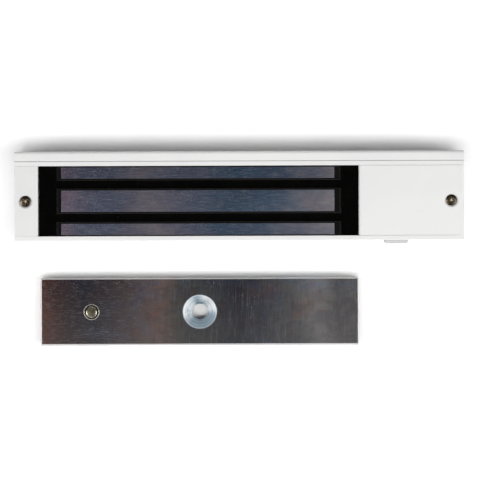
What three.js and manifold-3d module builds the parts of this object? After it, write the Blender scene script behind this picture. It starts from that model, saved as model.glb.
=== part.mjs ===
// Magnetic door lock: an electromagnet potted in a white aluminium channel, with its mounting plate,
// its wiring compartment and its armature plate, which lies beside it on the bench.
//
// Frame: millimetres, +Z up. X runs along the lock, +Y points to the mounting plate and +Z out of the
// pole faces. The origin is under the middle of the whole layout, on the surface that it lies on.

import * as THREE from "three";
import { mergeVertices } from "three/addons/utils/BufferGeometryUtils.js";
import Module from "manifold-3d";

const wasm = await Module();
wasm.setup();

// ---------------------------------------------------------------- driving dimensions

const GAP = 0.2; // between pieces that are glued, screwed or laid against each other
const RUNNING = 0.3; // round a piece that slides or lifts out
const FINE = 40; // sides of a large hole or disc
const MEDIUM = 24; // sides of a screw, a pin or a small hole

const core = {
  length: 151.6,
  width: 38,
  outerLeg: 6.4,
  slot: 6.7,
  slotDepth: 16.5,
  sideGap: 0.55, // to each side wall of the channel
  proud: 0.2, // pole faces above the front of the channel
};
const pocket = { left: 12.7, right: 13.8 }; // potted room past each end of the core
const channel = { wall: 2.6, back: 2.4, depth: 25.3, edge: 0.5, backEdge: 1.2 };
const cover = {
  leftLength: 13.5,
  rightLength: 58.4,
  sheet: 1.6,
  bend: 0.9,
  lip: 3.2,
  sideGap: 0.2,
  sinkTop: 4.0, // radius of the countersink at the face
};
const mountingPlate = {
  thickness: 5.4,
  outerEdge: 1.9,
  slotLength: 20,
  slotWidth: 6,
  slotSpacing: 96,
  screwHole: 2.6,
  screwSink: 4.9,
  screwSpacing: 186,
  grooveWidth: 1.2,
  grooveDepth: 0.5,
  grooveSpacing: 9,
};
const liner = { slotSide: 1.0, leftEnd: 2.1, rightEnd: 3.3, below: 0.4 };
const coil = { build: 4.0, height: 10, corner: 3, room: 0.25 };
const potting = { below: 0.9 };
const dam = { thickness: 1.2, holeRoom: 0.4 };
const coverScrew = {
  head: 3.15,
  dome: 0.8,
  shank: 1.45,
  point: 0.5,
  length: 12,
  recess: 1.95, // reach of the cross recess from its middle
  recessDepth: 1.3,
  leftInset: 6.1,
  rightInset: 6.9,
};
const post = { acrossFlats: 6.5, foot: 1.7 };
const bodyBolt = {
  shank: 2.4,
  head: 4.25,
  headHeight: 5,
  hex: 2.3,
  hexDepth: 2.6,
  bevel: 0.4,
  inset: 7.7,
  tipInset: 0.6, // below the mounting plate's outer face
};
const coreScrew = {
  shank: 1.95,
  head: 3.9,
  length: 8.5,
  spacing: 52,
  flush: 0.15,
  recess: 2.15,
  recessDepth: 1.2,
};
const cableHole = { radius: 5.5, fromCompartment: 10 };
const lens = { width: 13.5, height: 8, proud: 2, corner: 1.6, bevel: 1.1, flange: 1.4, flangeEdge: 1.5 };
const board = { thickness: 1.6, endGap: 4.2, boltGap: 2.25, standoff: 5, corner: 1, partGap: 0.6 };
const spacer = { acrossFlats: 5, floor: 1 };
const boardScrew = {
  shank: 1.1,
  head: 2.1,
  headSide: 0.85,
  headTop: 1.5, // radius of the head's flat top
  headHeight: 1.4,
  slotWidth: 0.5,
  slotDepth: 0.5,
  inset: 3.4,
};
const terminal = {
  ways: 6,
  pitch: 5,
  depth: 8.6,
  fromEdge: 7, // of the board, room for the supply wires
  underCover: 3.6,
  step: 1.6,
  screw: 1.7,
  screwLength: 2.8,
  screwInset: 1,
  slotWidth: 0.6,
  slotDepth: 0.8,
  well: 4,
  entryWidth: 3,
  entryHeight: 3,
  entryDepth: 3,
  entrySill: 1,
};
const relay = { length: 12, width: 7.4, underCover: 6.6, corner: 0.6, fromEdge: 1, fromEnd: 0.5 };
const varistor = { radius: 3.6, thickness: 3.2, lift: 1, leadRadius: 0.4, leadSpread: 1.9 };
const jumper = {
  length: 5,
  width: 2.5,
  height: 6,
  rim: 0.8,
  slotWidth: 1,
  slotDepth: 2,
  fromEnd: 5,
  fromEdge: 11.5,
};
const led = {
  radius: 2.5,
  length: 6,
  rim: 2.9,
  rimLength: 1,
  lead: 0.5,
  leadRun: 2, // straight out of the light, before the bend down to the board
  leadSpread: 1.27,
  fromEdge: 9.5,
};
const lead = {
  radius: 0.8,
  spread: 2.6,
  bend: 1.6, // room for the turn down to the pad
  crest: 0.2,
  padInset: 3,
  redPadY: 0,
  blackPadY: -4.2,
};

const armature = {
  length: 180,
  thickness: 11,
  chamfer: 1.0,
  boltHole: 4.35,
  boltSink: 9.65,
  pinHole: 2.5,
  pinDepth: 6,
  pinSpacing: 70,
};
const sleeve = {
  fromCentre: 61.2,
  radius: 4.6,
  depth: 9.2,
  floor: 0.8,
  bore: 3.9,
  mouth: 3.5,
  mouthDepth: 1.3,
  mouthChamfer: 0.4,
  pressGap: 0.1,
};
const button = {
  stem: 3.25,
  flange: 3.7,
  flangeThickness: 1.1,
  proud: 1.6,
  dome: 0.9,
  spigot: 1.3,
  spigotLength: 1.4,
};
const spring = { wire: 0.24, coilRadius: 3.1, turns: 4.5, endGap: 0.1 };
const bench = { gap: 21.2 }; // between the lock's lower wall and the armature plate, as they lie

// ---------------------------------------------------------------- sizes that follow from them

const poleZ = channel.depth + core.proud;
const innerWidth = core.width + 2 * core.sideGap;
const innerY = innerWidth / 2;
const outerY = innerY + channel.wall;
const windowLength = pocket.left + core.length + pocket.right;
const lockLength = cover.leftLength + windowLength + cover.rightLength;
const endX = lockLength / 2;
const windowLeft = -endX + cover.leftLength;
const windowRight = windowLeft + windowLength;
const coreLeft = windowLeft + pocket.left;
const coreRight = coreLeft + core.length;
const coreBack = channel.back + GAP;
const slotFloor = poleZ - core.slotDepth;
const middleLegY = core.width / 2 - core.outerLeg - core.slot; // half the middle leg
const outerLegY = core.width / 2 - core.outerLeg; // inner side of an outer leg
const linerTop = poleZ - liner.below;
const pottingTop = poleZ - potting.below;
const coverUnder = channel.depth - cover.sheet;
const midDepth = channel.depth / 2;
const plateInner = outerY + GAP;
const plateOuter = plateInner + mountingPlate.thickness;
const postTop = coverUnder - GAP;
const screwRim = channel.depth - (cover.sinkTop - coverScrew.head) + GAP; // where the head meets its sink
const screwNeck = screwRim - (coverScrew.head - coverScrew.shank);
const screwTip = screwNeck - coverScrew.length;
const boltLength = plateOuter - bodyBolt.tipInset - (innerY - GAP);
const leftScrewX = -endX + coverScrew.leftInset;
const rightScrewX = endX - coverScrew.rightInset;
const boltX = endX - bodyBolt.inset; // and at -boltX
const cableX = windowRight + cableHole.fromCompartment;
const boardLeft = windowRight + board.endGap;
const boardRight = boltX - bodyBolt.head - board.boltGap;
const boardY = innerY - GAP - lens.flange - RUNNING; // clear of the lens's flange
const boardBottom = channel.back + board.standoff;
const boardTop = boardBottom + board.thickness;
const seatZ = boardTop + GAP; // where parts stand on the board
const relayLeft = boardRight - relay.fromEnd - relay.length;
const discX = boardLeft + board.partGap + varistor.radius;
const discY = lead.blackPadY - lead.radius - board.partGap - varistor.thickness;
const lensX = (discX + varistor.radius + relayLeft) / 2; // midway between the surge disc and the relay
const layoutWidth = outerY + plateOuter + bench.gap + core.width;
const lockY = layoutWidth / 2 - plateOuter;
const armatureY = core.width / 2 - layoutWidth / 2;
const armatureX = (windowLeft + windowRight) / 2;
const coreScrewX = [-1, 0, 1].map((n) => (coreLeft + coreRight) / 2 + n * coreScrew.spacing);

// ---------------------------------------------------------------- finishes

/** A material from its colour, roughness and metalness. */
function finish(color, roughness, metalness) {
  return new THREE.MeshStandardMaterial({ color, roughness, metalness });
}

const finishes = {
  whitePaint: finish(0xebebea, 0.45, 0),
  groundSteel: finish(0x4b4f5a, 0.35, 1),
  platedSteel: finish(0x4d4a4c, 0.35, 1),
  nickel: finish(0x8a8478, 0.3, 1),
  brass: finish(0xb59a56, 0.35, 1),
  copper: finish(0x9a4f2c, 0.4, 1),
  epoxy: finish(0x070707, 0.3, 0),
  nylon: finish(0x1b1b1b, 0.5, 0),
  boardGreen: finish(0x1d5a34, 0.5, 0),
  terminalGreen: finish(0x2f8f4e, 0.5, 0),
  relayBlack: finish(0x151515, 0.4, 0),
  discBlue: finish(0x2a5fa8, 0.4, 0),
  frosted: finish(0xe4e4e0, 0.35, 0),
  redWire: finish(0xb3201c, 0.45, 0),
  blackWire: finish(0x141414, 0.45, 0),
};

// ---------------------------------------------------------------- solids

/** A closed geometry as a manifold solid. */
function solid(geometry) {
  const bare = geometry.index ? geometry.toNonIndexed() : geometry.clone();
  bare.deleteAttribute("normal");
  bare.deleteAttribute("uv");
  const merged = mergeVertices(bare, 1e-4);
  const mesh = new wasm.Mesh({
    numProp: 3,
    vertProperties: merged.attributes.position.array,
    triVerts: new Uint32Array(merged.index.array),
  });
  return new wasm.Manifold(mesh);
}

/** A manifold solid as a geometry with flat faces. */
function geometryOf(body) {
  const mesh = body.getMesh();
  const geometry = new THREE.BufferGeometry();
  geometry.setAttribute("position", new THREE.BufferAttribute(mesh.vertProperties, 3));
  geometry.setIndex(new THREE.BufferAttribute(mesh.triVerts, 1));
  const flat = geometry.toNonIndexed();
  flat.computeVertexNormals();
  return flat;
}

/** The first geometry with all the others cut out of it. */
function cut(base, ...tools) {
  return geometryOf(tools.reduce((body, tool) => body.subtract(solid(tool)), solid(base)));
}

/** Several geometries joined into one. */
function join(base, ...others) {
  return geometryOf(others.reduce((body, other) => body.add(solid(other)), solid(base)));
}

/** A box between two corners. */
function box([x0, y0, z0], [x1, y1, z1]) {
  const geometry = new THREE.BoxGeometry(x1 - x0, y1 - y0, z1 - z0);
  return geometry.translate((x0 + x1) / 2, (y0 + y1) / 2, (z0 + z1) / 2);
}

/** An outline extruded along Z from zero. */
function extruded(shape, depth) {
  return new THREE.ExtrudeGeometry(shape, { depth, bevelEnabled: false, curveSegments: 6 });
}

/** An outline in (y, z), extruded from x0 to x1. */
function alongX(shape, x0, x1) {
  const geometry = extruded(shape, x1 - x0);
  const turn = new THREE.Matrix4().makeBasis(
    new THREE.Vector3(0, 1, 0),
    new THREE.Vector3(0, 0, 1),
    new THREE.Vector3(1, 0, 0),
  );
  return geometry.applyMatrix4(turn).translate(x0, 0, 0);
}

/** An outline in (x, z), extruded from y0 to y1. */
function alongY(shape, y0, y1) {
  return extruded(shape, y1 - y0).rotateX(Math.PI / 2).translate(0, y1, 0);
}

/** An outline in (x, y), extruded from z0 to z1. */
function alongZ(shape, z0, z1) {
  return extruded(shape, z1 - z0).translate(0, 0, z0);
}

/** A body of revolution about Z from [radius, z] points that start and end on the axis, lowest first. */
function turned(points, sides = MEDIUM) {
  const profile = points.map(([r, z]) => new THREE.Vector2(r, z));
  return new THREE.LatheGeometry(profile, sides).rotateX(Math.PI / 2);
}

/** A rod about Z. */
function rod(radius, z0, z1, sides = MEDIUM) {
  return turned([[0, z0], [radius, z0], [radius, z1], [0, z1]], sides);
}

/** A rod about Y at (x, z), from y0 to y1. */
function crossRod(radius, x, z, y0, y1, sides = MEDIUM) {
  return rod(radius, y0, y1, sides).rotateX(-Math.PI / 2).translate(x, 0, z);
}

/** A rectangle with rounded corners, radii given from the low corner round through (high, low). */
function roundedRectangle(x0, y0, x1, y1, lowLow, highLow = lowLow, highHigh = lowLow, lowHigh = lowLow) {
  const shape = new THREE.Shape();
  shape.moveTo(x0 + lowLow, y0);
  shape.lineTo(x1 - highLow, y0);
  if (highLow) shape.absarc(x1 - highLow, y0 + highLow, highLow, -Math.PI / 2, 0, false);
  shape.lineTo(x1, y1 - highHigh);
  if (highHigh) shape.absarc(x1 - highHigh, y1 - highHigh, highHigh, 0, Math.PI / 2, false);
  shape.lineTo(x0 + lowHigh, y1);
  if (lowHigh) shape.absarc(x0 + lowHigh, y1 - lowHigh, lowHigh, Math.PI / 2, Math.PI, false);
  shape.lineTo(x0, y0 + lowLow);
  if (lowLow) shape.absarc(x0 + lowLow, y0 + lowLow, lowLow, Math.PI, 1.5 * Math.PI, false);
  return shape;
}

/** A closed outline through the given points. */
function outline(points) {
  return new THREE.Shape(points.map(([u, v]) => new THREE.Vector2(u, v)));
}

/** A round wire that follows a curve. */
function wireAlong(extrudePath, radius, steps, curveSegments) {
  const section = new THREE.Shape().absarc(0, 0, radius, 0, 2 * Math.PI);
  return new THREE.ExtrudeGeometry(section, { steps, curveSegments, bevelEnabled: false, extrudePath });
}

/** Two values in rising order. */
function span(a, b) {
  return [Math.min(a, b), Math.max(a, b)];
}

/** A hexagonal prism about Z. */
function hexPrism(acrossFlats, z0, z1) {
  return rod(acrossFlats / Math.sqrt(3), z0, z1, 6);
}

/** A cross-shaped driver recess cut down from the given height. */
function crossRecess(reach, depth, z) {
  const blade = reach / 3;
  const arm = (long, wide) => box([-long, -wide, z - depth], [long, wide, z + depth]);
  return join(arm(reach, blade / 2), arm(blade / 2, reach), rod(blade, z - depth, z + depth, 12));
}

/** The points of a quarter of an ellipse, from its rim at the given height up towards its top. */
function crownPoints(radius, rise, z) {
  return [0.25, 0.5, 0.75].map((part) => {
    const angle = (part * Math.PI) / 2;
    return [radius * Math.cos(angle), z + rise * Math.sin(angle)];
  });
}

/** A through hole about Z that is countersunk from above: its radius at the face is sink. */
function sunkHole(radius, sink, face, bottom, sides = MEDIUM) {
  const neck = face - (sink - radius);
  return turned([[0, bottom], [radius, bottom], [radius, neck], [sink + 1, face + 1], [0, face + 1]], sides);
}

const group = new THREE.Group();
const lock = new THREE.Group();
const armatureSet = new THREE.Group();
lock.position.set(0, lockY, 0);
armatureSet.position.set(armatureX, armatureY, 0);
group.add(lock, armatureSet);

/** Adds a named piece to a group, at a place in that group. */
function piece(parent, name, geometry, material, place = [0, 0, 0]) {
  const mesh = new THREE.Mesh(geometry, material);
  mesh.name = name;
  mesh.position.set(...place);
  parent.add(mesh);
  return mesh;
}

// ---------------------------------------------------------------- casing

/** The extruded U-channel, open at the front and at both ends. */
function housingChannel() {
  const { depth, back, edge, backEdge } = channel;
  const section = roundedRectangle(-outerY, 0, outerY, depth, backEdge, backEdge, edge, edge);
  const trough = box([-endX - 1, -innerY, back], [endX + 1, innerY, depth + 1]);
  const sunk = sunkHole(coreScrew.shank + RUNNING, coreScrew.head + RUNNING, 0, -back - 1);
  const coreHoles = coreScrewX.map((x) => sunk.clone().rotateX(Math.PI).translate(x, 0, 0));
  const boltHoles = [-boltX, boltX].map((x) => boltHole(x, innerY - 1, outerY + 1));
  const cable = crossRod(cableHole.radius, cableX, midDepth, innerY - 1, outerY + 1, FINE);
  const lensRoom = alongY(lensOutline(RUNNING), -outerY - 1, -innerY + 1);
  const footHole = rod(post.foot + GAP, -1, back + 1);
  const postHoles = [leftScrewX, rightScrewX].map((x) => footHole.clone().translate(x, 0, 0));
  const body = alongX(section, -endX, endX);
  return cut(body, trough, cable, lensRoom, ...coreHoles, ...boltHoles, ...postHoles);
}

/** The clearance hole for a body bolt at x, between two y values. */
function boltHole(x, y0, y1) {
  return crossRod(bodyBolt.shank + RUNNING, x, midDepth, y0, y1);
}

/** The aluminium bar that is screwed to the door frame, and that the lock is bolted up to. */
function mountingBar() {
  const { thickness, outerEdge, slotLength, slotWidth, slotSpacing } = mountingPlate;
  const { screwHole, screwSink, screwSpacing, grooveWidth, grooveDepth, grooveSpacing } = mountingPlate;
  const section = roundedRectangle(plateInner, 0, plateOuter, channel.depth, 0, outerEdge, outerEdge, 0);
  const grooves = [-1, 1].map((side) => {
    const z = midDepth + (side * grooveSpacing) / 2;
    const wedge = [
      [plateOuter - grooveDepth, z],
      [plateOuter + grooveDepth, z - grooveWidth],
      [plateOuter + grooveDepth, z + grooveWidth],
    ];
    return alongX(outline(wedge), -endX - 1, endX + 1);
  });
  const slots = [-1, 1].map((side) => {
    const x0 = (side * slotSpacing - slotLength) / 2;
    const z0 = midDepth - slotWidth / 2;
    const shape = roundedRectangle(x0, z0, x0 + slotLength, z0 + slotWidth, slotWidth / 2);
    return alongY(shape, plateInner - 1, plateOuter + 1);
  });
  const sunk = sunkHole(screwHole, screwSink, 0, -thickness - 1).rotateX(Math.PI / 2);
  const screwHoles = [-1, 1].map((side) => {
    return sunk.clone().translate((side * screwSpacing) / 2, plateInner, midDepth);
  });
  const boltHoles = [-boltX, boltX].map((x) => boltHole(x, plateInner - 1, plateOuter + 1));
  const cable = crossRod(cableHole.radius, cableX, midDepth, plateInner - 1, plateOuter + 1, FINE);
  return cut(alongX(section, -endX, endX), cable, ...grooves, ...slots, ...screwHoles, ...boltHoles);
}

/** A folded sheet cover: a face with a short lip at the potting and an end wall at the channel's end. */
function foldedCover(length) {
  const { sheet, bend, lip, sideGap } = cover;
  const lipX = GAP + sheet;
  const wallX = length - sheet;
  const top = channel.depth;
  const shape = new THREE.Shape();
  shape.moveTo(GAP, top - lip);
  shape.lineTo(lipX, top - lip);
  shape.lineTo(lipX, top - sheet);
  shape.lineTo(wallX, top - sheet);
  shape.lineTo(wallX, channel.back + GAP);
  shape.lineTo(length, channel.back + GAP);
  shape.lineTo(length, top - bend);
  shape.absarc(length - bend, top - bend, bend, 0, Math.PI / 2, false);
  shape.lineTo(GAP + bend, top);
  shape.absarc(GAP + bend, top - bend, bend, Math.PI / 2, Math.PI, false);
  shape.lineTo(GAP, top - lip);
  return alongY(shape, -innerY + sideGap, innerY - sideGap);
}

/** The countersink for a cover screw at x, cut down from the front face. */
function coverSink(x) {
  const bottom = channel.depth - cover.sheet - 1;
  return sunkHole(coverScrew.shank + RUNNING, cover.sinkTop, channel.depth, bottom, FINE).translate(x, 0, 0);
}

/** A cover screw about Z: raised countersunk head with a cross recess. */
function crossHeadScrew() {
  const { head, dome, shank, point } = coverScrew;
  const profile = [
    [0, screwTip],
    [shank - point, screwTip],
    [shank, screwTip + point],
    [shank, screwNeck],
    [head, screwRim],
    ...crownPoints(head, dome, screwRim),
    [0, screwRim + dome],
  ];
  return cut(turned(profile), crossRecess(coverScrew.recess, coverScrew.recessDepth, screwRim + dome));
}

/** A hexagonal pillar with a foot swaged into the channel's back, tapped for a cover screw. */
function coverPost() {
  const foot = rod(post.foot, GAP, channel.back + 1);
  const pillar = hexPrism(post.acrossFlats, channel.back + GAP, postTop);
  const mouth = cover.sinkTop - cover.sheet + GAP;
  const drilled = sunkHole(coverScrew.shank + GAP, mouth, postTop, screwTip - GAP);
  return cut(join(foot, pillar), drilled);
}

/** A short socket-head bolt about Z. Its zero is under the head, and its shank points up. */
function socketBolt() {
  const { shank, head, headHeight, hex, hexDepth, bevel } = bodyBolt;
  const profile = [
    [0, -headHeight],
    [head - bevel, -headHeight],
    [head, -headHeight + bevel],
    [head, 0],
    [shank, 0],
    [shank, boltLength - bevel],
    [shank - bevel, boltLength],
    [0, boltLength],
  ];
  return cut(turned(profile), rod(hex, -headHeight - 1, -headHeight + hexDepth, 6));
}

/** A flat-headed screw about Z that holds the core. Its zero is the back of the channel. */
function coreFixing() {
  const { shank, head, length, flush, recess, recessDepth } = coreScrew;
  const neck = flush + head - shank;
  const body = turned([[0, flush], [head, flush], [shank, neck], [shank, length], [0, length]]);
  return cut(body, crossRecess(recess, recessDepth, flush));
}

/** The folded plate that stops the potting at one end of the window, from x0 towards +X. */
function pottingDam(x0) {
  const top = channel.depth - cover.lip - GAP;
  return box([x0, -innerY + GAP, channel.back + GAP], [x0 + dam.thickness, innerY - GAP, top]);
}

// ---------------------------------------------------------------- electromagnet

/** The E-shaped steel core. */
function eCore() {
  const half = core.width / 2;
  const shape = outline([
    [-half, coreBack],
    [half, coreBack],
    [half, poleZ],
    [outerLegY, poleZ],
    [outerLegY, slotFloor],
    [middleLegY, slotFloor],
    [middleLegY, poleZ],
    [-middleLegY, poleZ],
    [-middleLegY, slotFloor],
    [-outerLegY, slotFloor],
    [-outerLegY, poleZ],
    [-half, poleZ],
  ]);
  const bore = rod(coreScrew.shank + GAP, coreBack - 1, coreScrew.length + GAP);
  return cut(alongX(shape, coreLeft, coreRight), ...coreScrewX.map((x) => bore.clone().translate(x, 0, 0)));
}

/** A block between two y values round the core's ends, as wide at each end as a liner is. */
function linerBlock(y0, y1) {
  const bottom = slotFloor + GAP;
  return box([coreLeft - liner.leftEnd, y0, bottom], [coreRight + liner.rightEnd, y1, linerTop]);
}

/** The insulating frame round the middle leg. */
function middleLiner() {
  const reach = middleLegY + liner.slotSide;
  const leg = middleLegY + GAP / 2;
  const room = box([coreLeft - GAP / 2, -leg, 0], [coreRight + GAP / 2, leg, poleZ + 1]);
  return cut(linerBlock(-reach, reach), room);
}

/** The insulating frame round an outer leg, open at the channel's wall. side is 1 or -1. */
function outerLiner(side) {
  const [y0, y1] = span(side * (outerLegY - liner.slotSide), (side * core.width) / 2);
  const [leg0, leg1] = span(side * (outerLegY - GAP / 2), side * innerY);
  const room = box([coreLeft - GAP / 2, leg0, 0], [coreRight + GAP / 2, leg1, poleZ + 1]);
  return cut(linerBlock(y0, y1), room);
}

const windingX0 = coreLeft - liner.leftEnd - coil.room;
const windingX1 = coreRight + liner.rightEnd + coil.room;
const windingY = middleLegY + liner.slotSide + coil.room;

/** The winding's racetrack outline, grown by a margin, with its middle left open. */
function windingShape(margin) {
  const grow = coil.build + margin;
  const outer = [windingX0 - grow, -windingY - grow, windingX1 + grow, windingY + grow];
  const inner = [windingX0 + margin, -windingY + margin, windingX1 - margin, windingY - margin];
  const shape = roundedRectangle(...outer, coil.corner + grow);
  shape.holes.push(roundedRectangle(...inner, coil.corner - margin));
  return shape;
}

/** The winding, with its inner corners cleared for the middle liner. */
function winding() {
  const z0 = slotFloor + GAP;
  return cut(alongZ(windingShape(0), z0, z0 + coil.height), middleEnvelope(GAP));
}

/** The middle liner's outer block, grown by a margin and open at the front. */
function middleEnvelope(margin) {
  const y = middleLegY + liner.slotSide + margin;
  const x0 = coreLeft - liner.leftEnd - margin;
  const x1 = coreRight + liner.rightEnd + margin;
  return box([x0, -y, slotFloor], [x1, y, poleZ + 1]);
}

/** The black epoxy that fills the window round the core, the liners and the winding. */
function pottingBlock() {
  const y = innerY - GAP;
  const block = box([windowLeft + GAP, -y, channel.back + GAP], [windowRight - GAP, y, pottingTop]);
  const half = core.width / 2 + GAP;
  const yoke = box([coreLeft - GAP, -half, 0], [coreRight + GAP, half, slotFloor + 2 * GAP]);
  const outerRoom = [-1, 1].map((side) => {
    const [y0, y1] = span(side * (outerLegY - liner.slotSide - GAP), side * (y + 1));
    const low = [coreLeft - liner.leftEnd - GAP, y0, slotFloor];
    return box(low, [coreRight + liner.rightEnd + GAP, y1, poleZ + 1]);
  });
  const windingTop = slotFloor + 2 * GAP + coil.height;
  const windingRoom = alongZ(windingShape(GAP), slotFloor, windingTop);
  const slotRoom = box([coreLeft, -outerLegY, slotFloor], [coreRight, outerLegY, windingTop]);
  const leads = [-1, 1].map((side) => leadPassage(side, GAP));
  return cut(block, yoke, ...outerRoom, middleEnvelope(GAP), windingRoom, slotRoom, ...leads);
}

/** A straight passage for a coil lead, from inside the winding's room to past the potting's end. */
function leadPassage(side, margin) {
  const { x, y, z } = leadStart(side);
  const passage = rod(lead.radius + margin, -coil.build / 2, pocket.right + dam.thickness);
  return passage.rotateY(Math.PI / 2).translate(x, y, z);
}

/** Where a coil lead leaves the winding's rounded end. side is 1 or -1. */
function leadStart(side) {
  const bend = coil.corner + coil.build;
  const pastStraight = Math.max(0, lead.spread - lead.radius - (windingY - coil.corner));
  const x = windingX1 + coil.build - bend + Math.sqrt(bend * bend - pastStraight * pastStraight) + GAP;
  return new THREE.Vector3(x, side * lead.spread, slotFloor + GAP + coil.height / 2);
}

/** A coil lead from the winding, through the potting, up over the board's edge to its solder pad. */
function coilLead(side) {
  const start = leadStart(side);
  const beyond = windowRight + GAP + dam.thickness + dam.holeRoom;
  const padX = boardLeft + lead.padInset;
  const padY = side > 0 ? lead.redPadY : lead.blackPadY;
  const extrudePath = new THREE.CatmullRomCurve3([
    start,
    new THREE.Vector3(windowRight - 1, start.y, start.z),
    new THREE.Vector3(beyond, start.y, start.z),
    new THREE.Vector3(padX - lead.bend, padY, start.z + lead.crest),
    new THREE.Vector3(padX - lead.crest, padY, start.z - lead.bend),
    new THREE.Vector3(padX, padY, seatZ),
  ]);
  return wireAlong(extrudePath, lead.radius, 26, 5);
}

// ---------------------------------------------------------------- wiring compartment

/** The lens's outline in (x, z), grown by a margin. */
function lensOutline(margin) {
  const w = lens.width / 2 + margin;
  const h = lens.height / 2 + margin;
  return roundedRectangle(lensX - w, midDepth - h, lensX + w, midDepth + h, lens.corner);
}

/** The frosted window of the status light: a flange behind the wall and a bevelled bar through it. */
function statusLens() {
  const { width, height, bevel, flange, flangeEdge } = lens;
  const face = -outerY - lens.proud;
  const back = -innerY + GAP;
  const cutter = box([-width, -2 * bevel, -width], [width, 0, width]);
  const ends = [-1, 1].map((side) => {
    const x = lensX + side * (width / 2 - bevel);
    return cutter.clone().rotateZ((side * Math.PI) / 4).translate(x, face, midDepth);
  });
  const edges = [-1, 1].map((side) => {
    const z = midDepth + side * (height / 2 - bevel);
    return cutter.clone().rotateX((-side * Math.PI) / 4).translate(lensX, face, z);
  });
  const bar = cut(alongY(lensOutline(0), face, back + 0.5), ...ends, ...edges);
  return join(bar, alongY(lensOutline(flangeEdge), back, back + flange));
}

/** The places of the board's two screws, at opposite corners. */
const boardHoles = [
  [boardLeft + boardScrew.inset, -boardY + boardScrew.inset],
  [boardRight - boardScrew.inset, boardY - boardScrew.inset],
];

/** The circuit board with its two screw holes. */
function circuitBoard() {
  const shape = roundedRectangle(boardLeft, -boardY, boardRight, boardY, board.corner);
  const hole = rod(boardScrew.shank + RUNNING, 0, boardTop + 1);
  const holes = boardHoles.map(([x, y]) => hole.clone().translate(x, y, 0));
  return cut(alongZ(shape, boardBottom + GAP, boardTop), ...holes);
}

/** A spacer under the board about Z. Its zero is the inside of the channel's back. */
function boardSpacer() {
  const bore = rod(boardScrew.shank + GAP, spacer.floor, board.standoff + 1);
  return cut(hexPrism(spacer.acrossFlats, GAP, board.standoff), bore);
}

/** A pan-headed screw about Z that holds the board. Its zero is the board's top. */
function boardFixing() {
  const { shank, head, headSide, headTop, headHeight, slotWidth, slotDepth } = boardScrew;
  const tip = spacer.floor + 1 - board.thickness - board.standoff;
  const profile = [
    [0, tip],
    [shank, tip],
    [shank, GAP],
    [head, GAP],
    [head, headSide],
    [headTop, headHeight],
    [0, headHeight],
  ];
  const slot = box([-head, -slotWidth / 2, headHeight - slotDepth], [head, slotWidth / 2, headHeight + 1]);
  return cut(turned(profile), slot);
}

const terminalLength = terminal.ways * terminal.pitch;
const terminalLeft = (boardLeft + boardRight - terminalLength) / 2;
const terminalFront = boardY - terminal.fromEdge; // side where the wires go in, facing the cable hole
const terminalBack = terminalFront - terminal.depth;
const terminalY = (terminalFront + terminalBack) / 2;
const terminalTop = coverUnder - terminal.underCover;
const wayX = Array.from({ length: terminal.ways }, (_, way) => terminalLeft + (way + 0.5) * terminal.pitch);

/** The terminal block: stepped on the wire side, with a screw well and a wire entry for each way. */
function terminalBlock() {
  const shape = outline([
    [terminalBack, seatZ],
    [terminalFront, seatZ],
    [terminalFront, (seatZ + terminalTop) / 2],
    [terminalFront - terminal.step, terminalTop],
    [terminalBack, terminalTop],
  ]);
  const well = rod(terminal.screw + GAP, terminalTop - terminal.well, terminalTop + 1);
  const wells = wayX.map((x) => well.clone().translate(x, terminalY, 0));
  const { entryWidth, entryHeight, entryDepth, entrySill } = terminal;
  const entry = box([-entryWidth / 2, -entryDepth, entrySill], [entryWidth / 2, 1, entrySill + entryHeight]);
  const entries = wayX.map((x) => entry.clone().translate(x, terminalFront, seatZ));
  return cut(alongX(shape, terminalLeft, terminalLeft + terminalLength), ...wells, ...entries);
}

/** A slotted clamp screw about Z. Its zero is its top. */
function terminalScrew() {
  const { screw, screwLength, slotWidth, slotDepth } = terminal;
  const slot = box([-screw - 1, -slotWidth / 2, -slotDepth], [screw + 1, slotWidth / 2, 1]);
  return cut(rod(screw, -screwLength, 0), slot);
}

/** The status relay. */
function statusRelay() {
  const top = coverUnder - relay.underCover;
  const y0 = -boardY + relay.fromEdge;
  const shape = roundedRectangle(relayLeft, y0, relayLeft + relay.length, y0 + relay.width, relay.corner);
  return alongZ(shape, seatZ, top);
}

/** The surge disc that stands across the coil, on two short leads. */
function surgeDisc() {
  const { radius, thickness, lift, leadRadius, leadSpread } = varistor;
  const disc = crossRod(radius, 0, radius + lift, 0, thickness);
  const leg = rod(leadRadius, 0, lift + leadSpread, 8);
  return join(disc, ...[-1, 1].map((side) => leg.clone().translate(side * leadSpread, thickness / 2, 0)));
}

/** The cap on the pins that choose the coil's voltage. */
function voltageJumper() {
  const { length, width, height, rim, slotWidth, slotDepth } = jumper;
  const cap = box([-length / 2, -width / 2, 0], [length / 2, width / 2, height]);
  const reach = length / 2 - rim;
  return cut(cap, box([-reach, -slotWidth / 2, height - slotDepth], [reach, slotWidth / 2, height + 1]));
}

/** The status light, lying with its nose behind the lens, on two legs bent down to the board. */
function statusLed() {
  const { radius, length, rim, rimLength, leadRun } = led;
  const profile = [
    [0, 0],
    [rim, 0],
    [rim, rimLength],
    [radius, rimLength],
    [radius, length],
    ...crownPoints(radius, radius, length),
    [0, length + radius],
  ];
  const drop = midDepth - seatZ;
  const half = led.lead / 2;
  const legs = [-led.leadSpread, led.leadSpread].map((x) => {
    const straight = box([x - half, -half, -leadRun], [x + half, half, half]);
    return join(straight, box([x - half, -drop, -leadRun - led.lead], [x + half, half, -leadRun]));
  });
  return join(turned(profile), ...legs).rotateX(Math.PI / 2);
}

// ---------------------------------------------------------------- armature plate

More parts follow.
